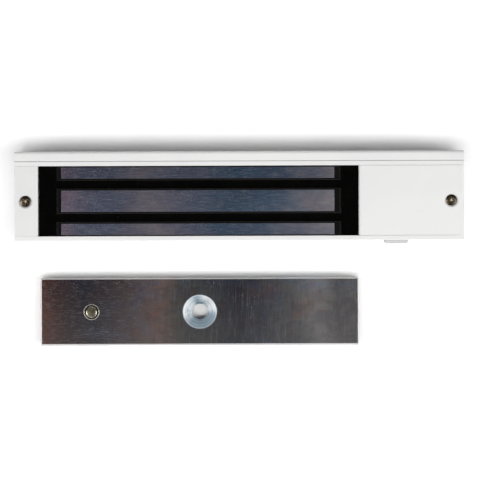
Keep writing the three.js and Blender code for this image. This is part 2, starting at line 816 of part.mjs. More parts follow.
/** The outline of a bar with its four corners cut at 45 degrees. */
function chamferedBar(halfWidth, height, chamfer) {
  return outline([
    [-halfWidth + chamfer, 0],
    [halfWidth - chamfer, 0],
    [halfWidth, chamfer],
    [halfWidth, height - chamfer],
    [halfWidth - chamfer, height],
    [-halfWidth + chamfer, height],
    [-halfWidth, height - chamfer],
    [-halfWidth, chamfer],
  ]);
}

/** The steel plate: chamfered all round, with its bolt hole, its pin holes and the sleeve's bore. */
function armaturePlate() {
  const { length, thickness, chamfer, pinDepth, pinSpacing } = armature;
  const long = alongX(chamferedBar(core.width / 2, thickness, chamfer), -length / 2, length / 2);
  const broad = alongY(chamferedBar(length / 2, thickness, chamfer), -core.width / 2, core.width / 2);
  const block = geometryOf(solid(long).intersect(solid(broad)));
  const bolt = sunkHole(armature.boltHole, armature.boltSink, thickness, -1, 2 * MEDIUM);
  const pin = rod(armature.pinHole, -1, pinDepth);
  const pins = [-1, 1].map((side) => pin.clone().translate((side * pinSpacing) / 2, 0, 0));
  const boreFloor = thickness - sleeve.depth - sleeve.pressGap;
  const bore = rod(sleeve.radius + sleeve.pressGap, boreFloor, thickness + 1, FINE);
  return cut(block, bolt, bore.translate(-sleeve.fromCentre, 0, 0), ...pins);
}

const sleeveBottom = armature.thickness - sleeve.depth;
const sleeveFloor = sleeveBottom + sleeve.floor;
const shoulder = armature.thickness - sleeve.mouthDepth; // the button's flange stops under it
const flangeTop = shoulder - GAP;
const flangeUnder = flangeTop - button.flangeThickness;

/** The cup that is pressed into the plate, with its rim crimped in over the button's flange. */
function buttonSleeve() {
  const { radius, bore, mouth, mouthChamfer } = sleeve;
  const top = armature.thickness;
  const cup = rod(radius, sleeveBottom, top, FINE);
  const hollow = [
    [0, sleeveFloor],
    [bore, sleeveFloor],
    [bore, shoulder],
    [mouth, shoulder],
    [mouth, top - mouthChamfer],
    [mouth + mouthChamfer + 1, top + 1],
    [0, top + 1],
  ];
  return cut(cup, turned(hollow, FINE));
}

/** The spring-loaded button that parts the plate from the poles when the current stops. */
function releaseButton() {
  const { stem, flange, dome, spigot, spigotLength } = button;
  const top = armature.thickness + button.proud;
  const profile = [
    [0, flangeUnder - spigotLength],
    [spigot, flangeUnder - spigotLength],
    [spigot, flangeUnder],
    [flange, flangeUnder],
    [flange, flangeTop],
    [stem, flangeTop],
    [stem, top - dome],
    ...crownPoints(stem, dome, top - dome),
    [0, top],
  ];
  return turned(profile, FINE);
}

/** A helix about Z between two heights. */
class Helix extends THREE.Curve {
  constructor(radius, turns, z0, z1) {
    super();
    Object.assign(this, { radius, turns, z0, z1 });
  }

  getPoint(t, target = new THREE.Vector3()) {
    const angle = 2 * Math.PI * this.turns * t;
    const z = this.z0 + (this.z1 - this.z0) * t;
    return target.set(this.radius * Math.cos(angle), this.radius * Math.sin(angle), z);
  }
}

/** The compression spring between the sleeve's floor and the button's flange. */
function buttonSpring() {
  const { wire, coilRadius, turns, endGap } = spring;
  const path = new Helix(coilRadius, turns, sleeveFloor + wire + endGap, flangeUnder - wire - endGap);
  return wireAlong(path, wire, Math.round(turns * 12), 3);
}

// ---------------------------------------------------------------- assembly

piece(lock, "housing_channel", housingChannel(), finishes.whitePaint);
piece(lock, "mounting_plate", mountingBar(), finishes.whitePaint);

const rightCover = foldedCover(cover.rightLength).translate(windowRight, 0, 0);
const leftCover = foldedCover(cover.leftLength).rotateZ(Math.PI).translate(windowLeft, 0, 0);
piece(lock, "wiring_cover", cut(rightCover, coverSink(rightScrewX)), finishes.whitePaint);
piece(lock, "end_cover", cut(leftCover, coverSink(leftScrewX)), finishes.whitePaint);
for (const [name, x] of [["wiring_cover", rightScrewX], ["end_cover", leftScrewX]]) {
  piece(lock, name + "_screw", crossHeadScrew(), finishes.nickel, [x, 0, 0]);
  piece(lock, name + "_post", coverPost(), finishes.brass, [x, 0, 0]);
}
for (const [side, x] of [["left", -boltX], ["right", boltX]]) {
  const bolt = piece(lock, side + "_body_bolt", socketBolt(), finishes.nickel, [x, innerY - GAP, midDepth]);
  bolt.rotation.x = -Math.PI / 2;
}

piece(lock, "magnet_core", eCore(), finishes.groundSteel);
coreScrewX.forEach((x, i) => piece(lock, "core_screw_" + (i + 1), coreFixing(), finishes.nickel, [x, 0, 0]));
piece(lock, "middle_pole_liner", middleLiner(), finishes.nylon);
piece(lock, "upper_pole_liner", outerLiner(1), finishes.nylon);
piece(lock, "lower_pole_liner", outerLiner(-1), finishes.nylon);
piece(lock, "coil_winding", winding(), finishes.copper);
piece(lock, "potting", pottingBlock(), finishes.epoxy);
const leadHoles = [-1, 1].map((side) => leadPassage(side, dam.holeRoom));
piece(lock, "right_dam", cut(pottingDam(windowRight + GAP), ...leadHoles), finishes.whitePaint);
piece(lock, "left_dam", pottingDam(windowLeft - GAP - dam.thickness), finishes.whitePaint);
piece(lock, "red_coil_lead", coilLead(1), finishes.redWire);
piece(lock, "black_coil_lead", coilLead(-1), finishes.blackWire);

piece(lock, "status_lens", statusLens(), finishes.frosted);
piece(lock, "circuit_board", circuitBoard(), finishes.boardGreen);
boardHoles.forEach(([x, y], i) => {
  piece(lock, "board_spacer_" + (i + 1), boardSpacer(), finishes.brass, [x, y, channel.back]);
  piece(lock, "board_screw_" + (i + 1), boardFixing(), finishes.nickel, [x, y, boardTop]);
});
piece(lock, "terminal_block", terminalBlock(), finishes.terminalGreen);
wayX.forEach((x, i) => {
  const place = [x, terminalY, terminalTop - terminal.screwInset];
  piece(lock, "terminal_screw_" + (i + 1), terminalScrew(), finishes.nickel, place);
});
piece(lock, "status_relay", statusRelay(), finishes.relayBlack);
piece(lock, "surge_disc", surgeDisc(), finishes.discBlue, [discX, discY, seatZ]);
const jumperPlace = [boardRight - jumper.fromEnd, jumper.fromEdge - boardY, seatZ];
piece(lock, "voltage_jumper", voltageJumper(), finishes.relayBlack, jumperPlace);
piece(lock, "status_led", statusLed(), finishes.frosted, [lensX, led.fromEdge - boardY, midDepth]);

piece(armatureSet, "armature_plate", armaturePlate(), finishes.platedSteel);
const buttonPlace = [-sleeve.fromCentre, 0, 0];
piece(armatureSet, "button_sleeve", buttonSleeve(), finishes.nickel, buttonPlace);
piece(armatureSet, "release_button", releaseButton(), finishes.nickel, buttonPlace);
piece(armatureSet, "button_spring", buttonSpring(), finishes.nickel, buttonPlace);

export default group;
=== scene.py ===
import functools
import logging
import math
from dataclasses import dataclass
from enum import Enum
from typing import Any, Callable, Iterable, Optional, Sequence, Union

import bmesh
import bpy
from mathutils import Matrix, Vector, noise


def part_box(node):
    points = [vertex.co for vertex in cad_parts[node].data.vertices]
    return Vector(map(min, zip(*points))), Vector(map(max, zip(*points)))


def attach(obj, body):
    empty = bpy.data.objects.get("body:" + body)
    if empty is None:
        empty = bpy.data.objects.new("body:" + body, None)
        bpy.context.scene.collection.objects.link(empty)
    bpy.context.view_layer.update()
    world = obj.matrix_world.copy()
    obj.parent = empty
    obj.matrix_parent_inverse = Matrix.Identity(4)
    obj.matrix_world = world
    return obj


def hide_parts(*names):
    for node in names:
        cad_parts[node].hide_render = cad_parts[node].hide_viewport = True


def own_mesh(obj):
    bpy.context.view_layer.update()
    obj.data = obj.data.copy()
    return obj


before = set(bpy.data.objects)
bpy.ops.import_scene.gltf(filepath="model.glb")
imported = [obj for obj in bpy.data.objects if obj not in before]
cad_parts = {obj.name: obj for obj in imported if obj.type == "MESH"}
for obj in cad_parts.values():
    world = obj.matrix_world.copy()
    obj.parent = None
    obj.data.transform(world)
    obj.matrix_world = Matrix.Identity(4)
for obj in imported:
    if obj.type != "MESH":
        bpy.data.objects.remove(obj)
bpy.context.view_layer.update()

# A magnetic door lock on its back, with its armature plate in front of it.
# Metres, +Z up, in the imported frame.

LOG = logging.getLogger("door_lock")
MM = 0.001
GLUE_GAP = 0.2 * MM
NEAR = 0.05 * MM  # what is closer than this is in the same place
CLEAR = 1 * MM  # how far a cutting tool goes past what it cuts
UPRIGHT = Matrix.Identity(4)
Colour = tuple[float, float, float, float]
Box = tuple[Vector, Vector]
Outline = Sequence[tuple[float, float]]


class Body(Enum):
    """The bodies of the frame that pieces ride on."""

    LOCK = "lock_body"
    BAR = "mounting_plate"
    WIRING_COVER = "wiring_cover"
    END_COVER = "end_cover"
    ARMATURE = "armature"
    BUTTON = "release_button"


class Way(Enum):
    """The way a turned piece points, as the turn that takes +Z to it."""

    UP = UPRIGHT
    DOWN = Matrix.Rotation(math.pi, 4, "X")
    BACK = Matrix.Rotation(-math.pi / 2, 4, "X")
    FRONT = Matrix.Rotation(math.pi / 2, 4, "X")


def tone(red: int, green: int, blue: int, share: float = 1.0) -> Colour:
    """A display colour as a linear one.

    Args:
        red, green, blue: The colour's parts, from 0 to 255.
        share: What the linear colour is multiplied by.

    Returns:
        The linear colour, with an alpha of 1.
    """
    def linear(part: int) -> float:
        """One part in linear light."""
        c = part / 255
        return share * (c / 12.92 if c <= 0.04045 else ((c + 0.055) / 1.055) ** 2.4)

    return (linear(red), linear(green), linear(blue), 1.0)


# ---------------------------------------------------------------- node trees


def arithmetic(operation: str, swapped: bool = False) -> Callable[["Value", Any], "Value"]:
    """A method of Value that makes a Math node.

    Args:
        operation: The node's operation.
        swapped: Whether the other value comes first.

    Returns:
        The method.
    """
    def method(self: "Value", other: Any) -> "Value":
        """The operation on this value and another."""
        first, second = (other, self) if swapped else (self, other)
        return self.tree.node("ShaderNodeMath", {"operation": operation}, {0: first, 1: second})

    return method


class Value:
    """An output socket that can be used in arithmetic."""

    def __init__(self, tree: "Tree", socket: bpy.types.NodeSocket) -> None:
        """Wraps a socket of a tree."""
        self.tree = tree
        self.socket = socket

    __add__, __radd__ = arithmetic("ADD"), arithmetic("ADD", True)
    __sub__, __rsub__ = arithmetic("SUBTRACT"), arithmetic("SUBTRACT", True)
    __mul__, __rmul__ = arithmetic("MULTIPLY"), arithmetic("MULTIPLY", True)


class Tree:
    """A node tree that is being written."""

    def __init__(self, tree: bpy.types.NodeTree) -> None:
        """Takes an empty tree."""
        self.tree = tree

    def node(
        self,
        kind: str,
        settings: Optional[dict[str, Any]] = None,
        sockets: Optional[dict[Union[str, int], Any]] = None,
        out: Union[str, int] = 0,
    ) -> Optional[Value]:
        """Adds a node.

        Args:
            kind: The node's type.
            settings: Its properties, set first; "stops" are a ramp's positions and colours.
            sockets: Values or links of its inputs, by name or number; a list is several links.
            out: The output to return.

        Returns:
            The chosen output, if the node has any.
        """
        made = self.tree.nodes.new(kind)
        for name, value in (settings or {}).items():
            if name == "stops":
                self.set_stops(made.color_ramp, value)
            else:
                setattr(made, name, value)
        for key, given in (sockets or {}).items():
            for value in given if isinstance(given, list) else [given]:
                if isinstance(value, Value):
                    self.tree.links.new(value.socket, made.inputs[key])
                else:
                    made.inputs[key].default_value = value
        return Value(self, made.outputs[out]) if len(made.outputs) else None

    @staticmethod
    def set_stops(ramp: bpy.types.ColorRamp, stops: Sequence[tuple[float, Colour]]) -> None:
        """Gives a ramp its stops, in rising order."""
        while len(ramp.elements) < len(stops):
            ramp.elements.new(1.0)
        for element, (place, colour) in zip(ramp.elements, stops):
            element.position = place
            element.color = colour


class Shader(Tree):
    """The node tree of one material, with a Principled surface."""

    def __init__(self, name: str, **constants: Any) -> None:
        """Starts a material.

        Args:
            name: The material's name.
            constants: Values of the surface's own sockets, with _ for a space.
        """
        self.material = bpy.data.materials.new(name)
        self.material.use_nodes = True
        super().__init__(self.material.node_tree)
        self.tree.nodes.clear()
        settings = {key.replace("_", " "): value for key, value in constants.items()}
        surface = self.node("ShaderNodeBsdfPrincipled", None, settings)
        self.surface = surface.socket.node
        self.node("ShaderNodeOutputMaterial", None, {"Surface": surface})

    def place(self, stretch: Sequence[float] = (1, 1, 1), origin: Sequence[float] = (0, 0, 0)) -> Value:
        """Object coordinates, moved so that origin is zero and then stretched."""
        points = self.node("ShaderNodeTexCoord", out="Object")
        moved = self.node("ShaderNodeVectorMath", {"operation": "SUBTRACT"}, {0: points, 1: origin})
        return self.node("ShaderNodeVectorMath", {"operation": "MULTIPLY"}, {0: moved, 1: stretch})

    def span(self, axis: str, start: float, end: float) -> Value:
        """How far a point is on the way from start to end along an axis, from 0 to 1."""
        place = self.place((1 / (end - start),) * 3, (start,) * 3)
        return self.node("ShaderNodeSeparateXYZ", None, {0: place}, axis)

    def grain(
        self, at: Value, scale: float, detail: float = 3, roughness: float = 0.55, warp: float = 0
    ) -> Value:
        """Soft noise from 0 to 1."""
        sockets = {"Vector": at, "Scale": scale, "Detail": detail, "Roughness": roughness, "Distortion": warp}
        return self.node("ShaderNodeTexNoise", None, sockets)

    def cells(self, at: Value, scale: float) -> Value:
        """The distance to the nearest of some scattered points."""
        return self.node("ShaderNodeTexVoronoi", None, {"Vector": at, "Scale": scale})

    def step(self, value: Value, low: float, high: float) -> Value:
        """0 below low, 1 above high, and smooth in between. low may be the higher one."""
        sockets = {"Value": value, "From Min": low, "From Max": high}
        return self.node("ShaderNodeMapRange", {"interpolation_type": "SMOOTHSTEP"}, sockets)

    def ramp(self, value: Value, stops: Sequence[tuple[float, Colour]]) -> Value:
        """A colour that follows a value."""
        return self.node("ShaderNodeValToRGB", {"stops": stops}, {0: value})

    def blend(self, share: Any, first: Any, second: Any, how: str = "MIX") -> Value:
        """Two colours mixed by a share."""
        settings = {"data_type": "RGBA", "blend_type": how}
        return self.node("ShaderNodeMix", settings, {0: share, 6: first, 7: second}, 2)

    def tinted(self, colour: Value, tint: Colour) -> Value:
        """A colour multiplied by a tint."""
        return self.blend(1.0, colour, tint, "MULTIPLY")

    def layered(self, colour: Value, *layers: tuple[Value, Any]) -> Value:
        """A colour under others, each one with its share over what is below it."""
        for share, over in layers:
            colour = self.blend(share, colour, over)
        return colour

    def edge(self) -> Value:
        """1 on the rounded edges of a piece, 0 elsewhere."""
        return self.node("ShaderNodeAttribute", {"attribute_name": "edge"}, None, "Fac")

    def bump(self, height: Value, depth: float, strength: float = 0.5) -> Value:
        """A normal from a height, whose full range is a depth in metres."""
        sockets = {"Strength": strength, "Distance": depth, "Height": height}
        return self.node("ShaderNodeBump", None, sockets)

    def finish(self, colour: Value, roughness: Value, normal: Value) -> bpy.types.Material:
        """Links what changes over the surface, and returns the material."""
        for name, value in (("Base Color", colour), ("Roughness", roughness), ("Normal", normal)):
            self.tree.links.new(value.socket, self.surface.inputs[name])
        return self.material


class Shape(Tree):
    """A Geometry Nodes tree with named inputs, that ends in realised instances with one finish."""

    def __init__(self, name: str, inputs: dict[str, str]) -> None:
        """Starts a tree.

        Args:
            name: The tree's name.
            inputs: The socket type of each input, by name.
        """
        super().__init__(bpy.data.node_groups.new(name, "GeometryNodeTree"))
        for label, kind in {**inputs, "Finish": "NodeSocketMaterial"}.items():
            self.tree.interface.new_socket(label, in_out="INPUT", socket_type=kind)
        self.tree.interface.new_socket("Geometry", in_out="OUTPUT", socket_type="NodeSocketGeometry")
        self.inputs = self.node("NodeGroupInput").socket.node

    def given(self, name: str) -> Value:
        """A named input."""
        return Value(self, self.inputs.outputs[name])

    def close(self, geometry: Value) -> None:
        """Realises the geometry, gives it its finish and ends the tree."""
        solid = self.node("GeometryNodeRealizeInstances", None, {0: geometry})
        sockets = {"Geometry": solid, "Material": self.given("Finish")}
        self.node("NodeGroupOutput", None, {0: self.node("GeometryNodeSetMaterial", None, sockets)})

    def make(self, name: str, **values: Any) -> bpy.types.Object:
        """Runs the tree.

        Args:
            name: The piece's name.
            values: The inputs, by name.

        Returns:
            The piece as a plain mesh object.
        """
        piece = new_object(name, bpy.data.meshes.new(name))
        modifier = piece.modifiers.new("shape", "NODES")
        modifier.node_group = self.tree
        for item in self.tree.interface.items_tree:
            if item.in_out == "INPUT":
                modifier[item.identifier] = values[item.name]
        return shaded(settled(piece))


# ---------------------------------------------------------------- meshes


def new_object(name: str, data: bpy.types.ID) -> bpy.types.Object:
    """A linked object at the origin."""
    made = bpy.data.objects.new(name, data)
    bpy.context.scene.collection.objects.link(made)
    return made


def from_bmesh(name: str, bm: bmesh.types.BMesh) -> bpy.types.Object:
    """A mesh object from a bmesh, which is freed."""
    mesh = bpy.data.meshes.new(name)
    bm.to_mesh(mesh)
    bm.free()
    return new_object(name, mesh)


def settled(piece: bpy.types.Object) -> bpy.types.Object:
    """Puts what a piece's modifiers make in its mesh, and takes them off."""
    bpy.context.view_layer.update()
    graph = bpy.context.evaluated_depsgraph_get()
    mesh = bpy.data.meshes.new_from_object(
        piece.evaluated_get(graph), preserve_all_data_layers=True, depsgraph=graph
    )
    piece.modifiers.clear()
    piece.data = mesh
    return piece


def shaded(piece: bpy.types.Object, angle: float = 32) -> bpy.types.Object:
    """Smooths a piece's shading, apart from edges sharper than an angle in degrees."""
    piece.data.shade_smooth()
    piece.data.set_sharp_from_angle(angle=math.radians(angle))
    return piece


def evened(piece: bpy.types.Object) -> bpy.types.Object:
    """Keeps the flat faces of a piece flat between its rounded edges."""
    shaded(piece, 60)
    modifier = piece.modifiers.new("even", "WEIGHTED_NORMAL")
    modifier.keep_sharp = True
    modifier.weight = 100
    return settled(piece)


def painted(piece: bpy.types.Object, *finishes: Any) -> bpy.types.Object:
    """Gives a piece its finishes in place of any it has."""
    piece.data.materials.clear()
    for finish in finishes:
        piece.data.materials.append(material(finish))
    return piece


def softened(
    name: str,
    nodes: Iterable[str],
    width: float,
    segments: int = 2,
    sharpest: float = 30,
    reshape: Optional[Callable[[Vector], Vector]] = None,
    spared: Optional[Callable[[Vector], bool]] = None,
) -> bpy.types.Object:
    """A copy of one or more nodes whose edges are rounded.

    Args:
        name: The piece's name.
        nodes: The nodes to copy.
        width: The rounding's width.
        segments: Faces across the rounding.
        sharpest: Edges that turn by more than this many degrees are rounded.
        reshape: Where each corner goes, for slight changes of shape.
        spared: Whether an edge that starts at a corner stays sharp.

    Returns:
        The piece, with its rounded faces marked in the attribute "edge".
    """
    bm = bmesh.new()
    for node in nodes:
        bm.from_mesh(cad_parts[node].data)
    bmesh.ops.remove_doubles(bm, verts=bm.verts, dist=2e-6)
    bmesh.ops.dissolve_limit(bm, angle_limit=math.radians(0.3), verts=bm.verts, edges=bm.edges)
    if reshape:
        for vert in bm.verts:
            vert.co = reshape(vert.co)
    mark = bm.faces.layers.float.new("edge")
    if width:
        least = math.radians(sharpest)
        sharp = [e for e in bm.edges if len(e.link_faces) == 2 and e.calc_face_angle(0) > least]
        if spared:
            sharp = [e for e in sharp if not spared(e.verts[0].co)]
        sizes = {"offset": width, "segments": segments, "profile": 0.5}
        made = bmesh.ops.bevel(bm, geom=sharp, affect="EDGES", clamp_overlap=True, **sizes)
        for face in made["faces"]:
            face[mark] = 1.0
    return evened(from_bmesh(name, bm))


@dataclass(frozen=True)
class Ring:
    """A ring of a turned piece: its radius and height, and how deep a thread or a knurl is cut there."""

    radius: float
    height: float
    thread: float = 0.0
    knurl: float = 0.0


@dataclass(frozen=True)
class Lathe:
    """Turns closed pieces about Z.

    Attributes:
        sides: Faces round the piece.
        pitch: The thread's pitch.
        ridges: The knurl's ridges round the piece.
    """

    sides: int = 48
    pitch: float = 0.7 * MM
    ridges: int = 36

    def radius(self, ring: Ring, angle: float) -> float:
        """The radius of a ring at an angle."""
        turn = (ring.height / self.pitch - angle / (2 * math.pi)) % 1.0
        thread = ring.thread * abs(2 * turn - 1)
        knurl = ring.knurl * (0.5 + 0.5 * math.cos(self.ridges * angle))
        return ring.radius - thread - knurl

    def threaded(self, radius: float, bottom: float, top: float, depth: float) -> list[Ring]:
        """Rings of a thread, with a plain lead at both ends."""
        count = max(2, round((top - bottom) / self.pitch * 6))
        heights = [bottom + (top - bottom) * i / count for i in range(count + 1)]
        return [Ring(radius, z, depth * min(1, min(i, count - i) / 4)) for i, z in enumerate(heights)]

    def turn(self, name: str, rings: Sequence[Ring], way: Way, place: Vector) -> bpy.types.Object:
        """Turns a piece.

        Args:
            name: The piece's name.
            rings: Its rings from the lowest to the highest; a ring of no radius is a point.
            way: Where its +Z points.
            place: Where its zero is.

        Returns:
            The piece.
        """
        bm = bmesh.new()
        rows: list[list[bmesh.types.BMVert]] = []
        for ring in rings:
            if ring.radius <= 0:
                rows.append([bm.verts.new((0, 0, ring.height))] * self.sides)
                continue
            row = []
            for side in range(self.sides):
                angle = 2 * math.pi * side / self.sides
                r = self.radius(ring, angle)
                row.append(bm.verts.new((r * math.cos(angle), r * math.sin(angle), ring.height)))
            rows.append(row)
        for low, high in zip(rows, rows[1:]):
            for side in range(self.sides):
                after = (side + 1) % self.sides
                corners = [low[side], low[after], high[after], high[side]]
                bm.faces.new(list(dict.fromkeys(corners)))
        bm.normal_update()
        bmesh.ops.recalc_face_normals(bm, faces=bm.faces)
        bm.transform(Matrix.Translation(place) @ way.value)
        return shaded(from_bmesh(name, bm))


def rounded(points: Sequence[tuple[float, float, float]], steps: int = 3) -> list[Ring]:
    """Rings along a profile whose corners are rounded.

    Args:
        points: Radius, height and rounding of each corner, lowest first.
        steps: Faces across each rounding.

    Returns:
        The rings.
    """
    rings = []
    for i, (r, z, curve) in enumerate(points):
        here = Vector((r, z))
        if curve <= 0 or i in (0, len(points) - 1):
            rings.append(Ring(r, z))
            continue
        before = Vector(points[i - 1][:2]) - here
        after = Vector(points[i + 1][:2]) - here
        start = here + before.normalized() * min(curve, before.length * 0.49)
        end = here + after.normalized() * min(curve, after.length * 0.49)
        for step in range(steps + 1):
            t = step / steps
            point = start * (1 - t) ** 2 + here * 2 * t * (1 - t) + end * t * t
            rings.append(Ring(point.x, point.y))
    return rings


def prism(name: str, outlines: Sequence[tuple[float, Outline]], place: Matrix = UPRIGHT) -> bpy.types.Object:
    """A solid through several flat outlines with the same number of corners.

    Args:
        name: The solid's name.
        outlines: The height and the corners of each outline, lowest first, anticlockwise.
        place: The matrix that puts it in place.

    Returns:
        The solid.
    """
    bm = bmesh.new()
    rows = [[bm.verts.new((x, y, z)) for x, y in corners] for z, corners in outlines]
    bm.faces.new(list(reversed(rows[0])))
    bm.faces.new(rows[-1])
    for low, high in zip(rows, rows[1:]):
        for i, vert in enumerate(low):
            after = (i + 1) % len(low)
            bm.faces.new((vert, low[after], high[after], high[i]))
    for face in bm.faces:
        face.material_index = 1
    bm.transform(place)
    bmesh.ops.recalc_face_normals(bm, faces=bm.faces)
    return from_bmesh(name, bm)


def hexagon(across: float) -> Outline:
    """A hexagon's corners from its width across its flats."""
    radius = across / math.sqrt(3)
    return [(radius * math.cos(k * math.pi / 3), radius * math.sin(k * math.pi / 3)) for k in range(6)]


def oblong(x: float, y: float) -> Outline:
    """An oblong's corners round zero, from half its length and half its width."""
    return [(-x, -y), (x, -y), (x, y), (-x, y)]


@dataclass(frozen=True)
class Cross:
    """A tapered cross recess.

    Attributes:
        reach: From its middle to the end of a wing.
        wing: Width of a wing.
        depth: Depth of the recess.
        turn: Its turn about the screw, in radians.
        below: How far its mouth is below the head's highest point.
        floor_reach: Its reach at the floor, next to the mouth.
        floor_wing: Its wings' width at the floor, next to the mouth.
    """

    reach: float
    wing: float
    depth: float
    turn: float = 0.0
    below: float = 0.0
    floor_reach: float = 0.3
    floor_wing: float = 0.55

    def outline(self, scale: float, broad: float) -> Outline:
        """The cross's twelve corners at one height."""
        r, w = self.reach * scale, self.wing * broad / 2
        corners = []
        for turns in range(4):
            for x, y in ((r, -w), (r, w), (w, w)):
                for _ in range(turns):
                    x, y = -y, x
                corners.append((x, y))
        return corners

    def tool(self, highest: float) -> bpy.types.Object:
        """What cuts the recess into a head, from the height of the head's highest point."""
        top, mouth = highest - self.below, self.outline(1.0, 1.0)
        floor = self.outline(self.floor_reach, self.floor_wing)
        levels = [(top - self.depth, floor), (top, mouth), (top + self.depth, mouth)]
        return prism("cross_tool", levels, Matrix.Rotation(self.turn, 4, "Z"))


def carved(piece: bpy.types.Object, *tools: bpy.types.Object) -> bpy.types.Object:
    """Cuts tools out of a piece, and removes them."""
    for tool in tools:
        modifier = piece.modifiers.new("cut", "BOOLEAN")
        modifier.operation = "DIFFERENCE"
        modifier.solver = "EXACT"
        modifier.object = tool
    settled(piece)
    for tool in tools:
        bpy.data.objects.remove(tool)
    return shaded(piece)


def joined(name: str, *pieces: bpy.types.Object) -> bpy.types.Object:
    """Several pieces as one mesh, each with the materials it had."""
    bm = bmesh.new()
    coats: list[bpy.types.Material] = []
    for piece in pieces:
        count = len(bm.faces)
        bm.from_mesh(piece.data)
        bm.faces.ensure_lookup_table()
        own = list(piece.data.materials)
        coats += [coat for coat in own if coat not in coats]
        for face in bm.faces[count:]:
            if own:
                face.material_index = coats.index(own[min(face.material_index, len(own) - 1)])
        bpy.data.objects.remove(piece)
    made = from_bmesh(name, bm)
    for coat in coats:
        made.data.materials.append(coat)
    return shaded(made)


def curve_points(points: Sequence[Vector], steps: int) -> list[Vector]:
    """Points along a smooth line through the given ones."""
    padded = [2 * points[0] - points[1], *points, 2 * points[-1] - points[-2]]
    line = []
    for a, b, c, d in zip(padded, padded[1:], padded[2:], padded[3:]):
        for step in range(steps):
            t = step / steps
            bend, twist = 2 * a - 5 * b + 4 * c - d, 3 * b - a - 3 * c + d
            line.append(0.5 * (2 * b + (c - a) * t + bend * t * t + twist * t**3))
    return [*line, points[-1].copy()]


def wire(name: str, points: Sequence[Vector], radius: float, sides: int) -> bpy.types.Object:
    """A closed round wire along a smooth line.

    Args:
        name: The wire's name.
        points: What the line goes through.
        radius: The wire's radius.
        sides: Faces round it.

    Returns:
        The wire.
    """
    line = curve_points(points, 8)
    turns = [2 * math.pi * k / sides for k in range(sides)]
    bm = bmesh.new()
    rows = []
    side_way = (line[1] - line[0]).orthogonal().normalized()
    for i, at in enumerate(line):
        ahead = (line[min(i + 1, len(line) - 1)] - line[max(i - 1, 0)]).normalized()
        side_way = (side_way - ahead * side_way.dot(ahead)).normalized()
        other = ahead.cross(side_way)
        ring = [at + radius * (side_way * math.cos(a) + other * math.sin(a)) for a in turns]
        rows.append([bm.verts.new(corner) for corner in ring])
    for low, high in zip(rows, rows[1:]):
        for k in range(sides):
            after = (k + 1) % sides
            bm.faces.new((low[k], low[after], high[after], high[k]))
    bm.faces.new(rows[0])
    bm.faces.new(rows[-1])
    bmesh.ops.recalc_face_normals(bm, faces=bm.faces)
    return shaded(from_bmesh(name, bm), 50)


def moved(at: Vector, axis: str, level: float, shift: float) -> Vector:
    """A point, shifted along an axis if it is on a level."""
    out = at.copy()
    if abs(getattr(at, axis) - level) < NEAR:
        setattr(out, axis, level + shift)
    return out


def install(piece: bpy.types.Object, body: Body, slot: str, *nodes: str) -> bpy.types.Object:
    """Makes a finished piece ride on its body, and stand for its nodes.

    Args:
        piece: The piece, in place.
        body: The body it moves with.
        slot: Not used.
        nodes: The nodes it stands for.

    Returns:
        The piece.
    """
    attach(piece, body.value)
    if nodes:
        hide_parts(*nodes)
    faces = len(piece.data.polygons)
    LOG.info("%s on %s, %d faces, for %s", piece.name, body.value, faces, ", ".join(nodes) or "-")
    return piece


def dressed(
    name: str,
    nodes: Sequence[str],
    width: float,
    finish: Any,
    slot: str,
    body: Body = Body.LOCK,
    **shape: Any,
) -> bpy.types.Object:
    """A copy of some nodes with rounded edges, with its finish and on its body.

    Args:
        name: The piece's name.
        nodes: The nodes that it copies and stands for.
        width: The rounding's width.
        finish: Its finish.
        slot: Handed on to install, which does not use it.
        body: The body it moves with.
        shape: What softened takes besides.

    Returns:
        The piece.
    """
    return install(painted(softened(name, nodes, width, **shape), finish), body, slot, *nodes)


def centre(box: Box) -> Vector:
    """The middle of a box."""
    return (box[0] + box[1]) / 2


def middle_of(node: str) -> Vector:
    """The middle of a node's box."""
    return centre(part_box(node))


def away_from(axis: Vector, at: Vector) -> float:
    """The distance of a point from an upright axis."""
    return math.hypot(at.x - axis.x, at.y - axis.y)


# ---------------------------------------------------------------- finishes


@dataclass(frozen=True)
class PowderCoat:
    """Satin white powder coat, with a faint orange peel, dust and thin spots at its edges."""

    name: str = "white_powder_coat"
    light: Colour = tone(209, 209, 208)
    shade: Colour = tone(205, 205, 205)
    thin: Colour = tone(184, 185, 186)
    speck: Colour = tone(166, 164, 160)

    def make(self) -> bpy.types.Material:
        """The material."""
        s = Shader(self.name, IOR=1.45)
        at = s.place()
        broad = s.grain(at, 22, 3)
        peel = s.grain(at, 750, 2)
        fine = s.grain(at, 4200, 2)
        thin = s.edge() * s.step(s.grain(at, 260, 4), 0.5, 0.72)
        dust = s.step(s.cells(at, 310), 0.075, 0.03) * s.step(s.grain(at, 60, 2), 0.5, 0.6)
        scuff = s.step(s.grain(s.place((40, 900, 500)), 1, 4), 0.66, 0.8)
        scuff = scuff * s.step(s.grain(at, 35, 2), 0.52, 0.66)
        colour = s.blend(s.step(broad, 0.35, 0.65), self.shade, self.light)
        worn = ((scuff * 0.35, self.thin), (thin * 0.35, self.thin))
        colour = s.layered(colour, (dust * 0.5, self.speck), *worn)
        rough = 0.36 + 0.14 * broad + 0.12 * scuff - 0.08 * thin
        return s.finish(colour, rough, s.bump(peel + 0.25 * fine, 0.00006, 0.35))


# Painted light: a lighter copy of the same powder coat for the channel, the bar and the wiring cover, so that
# they read brighter than the end cover and the dams.
WHITE_PAINTED_LIGHTER = PowderCoat("powder_coat_painted_lighter", tone(213, 213, 212), tone(209, 209, 209))


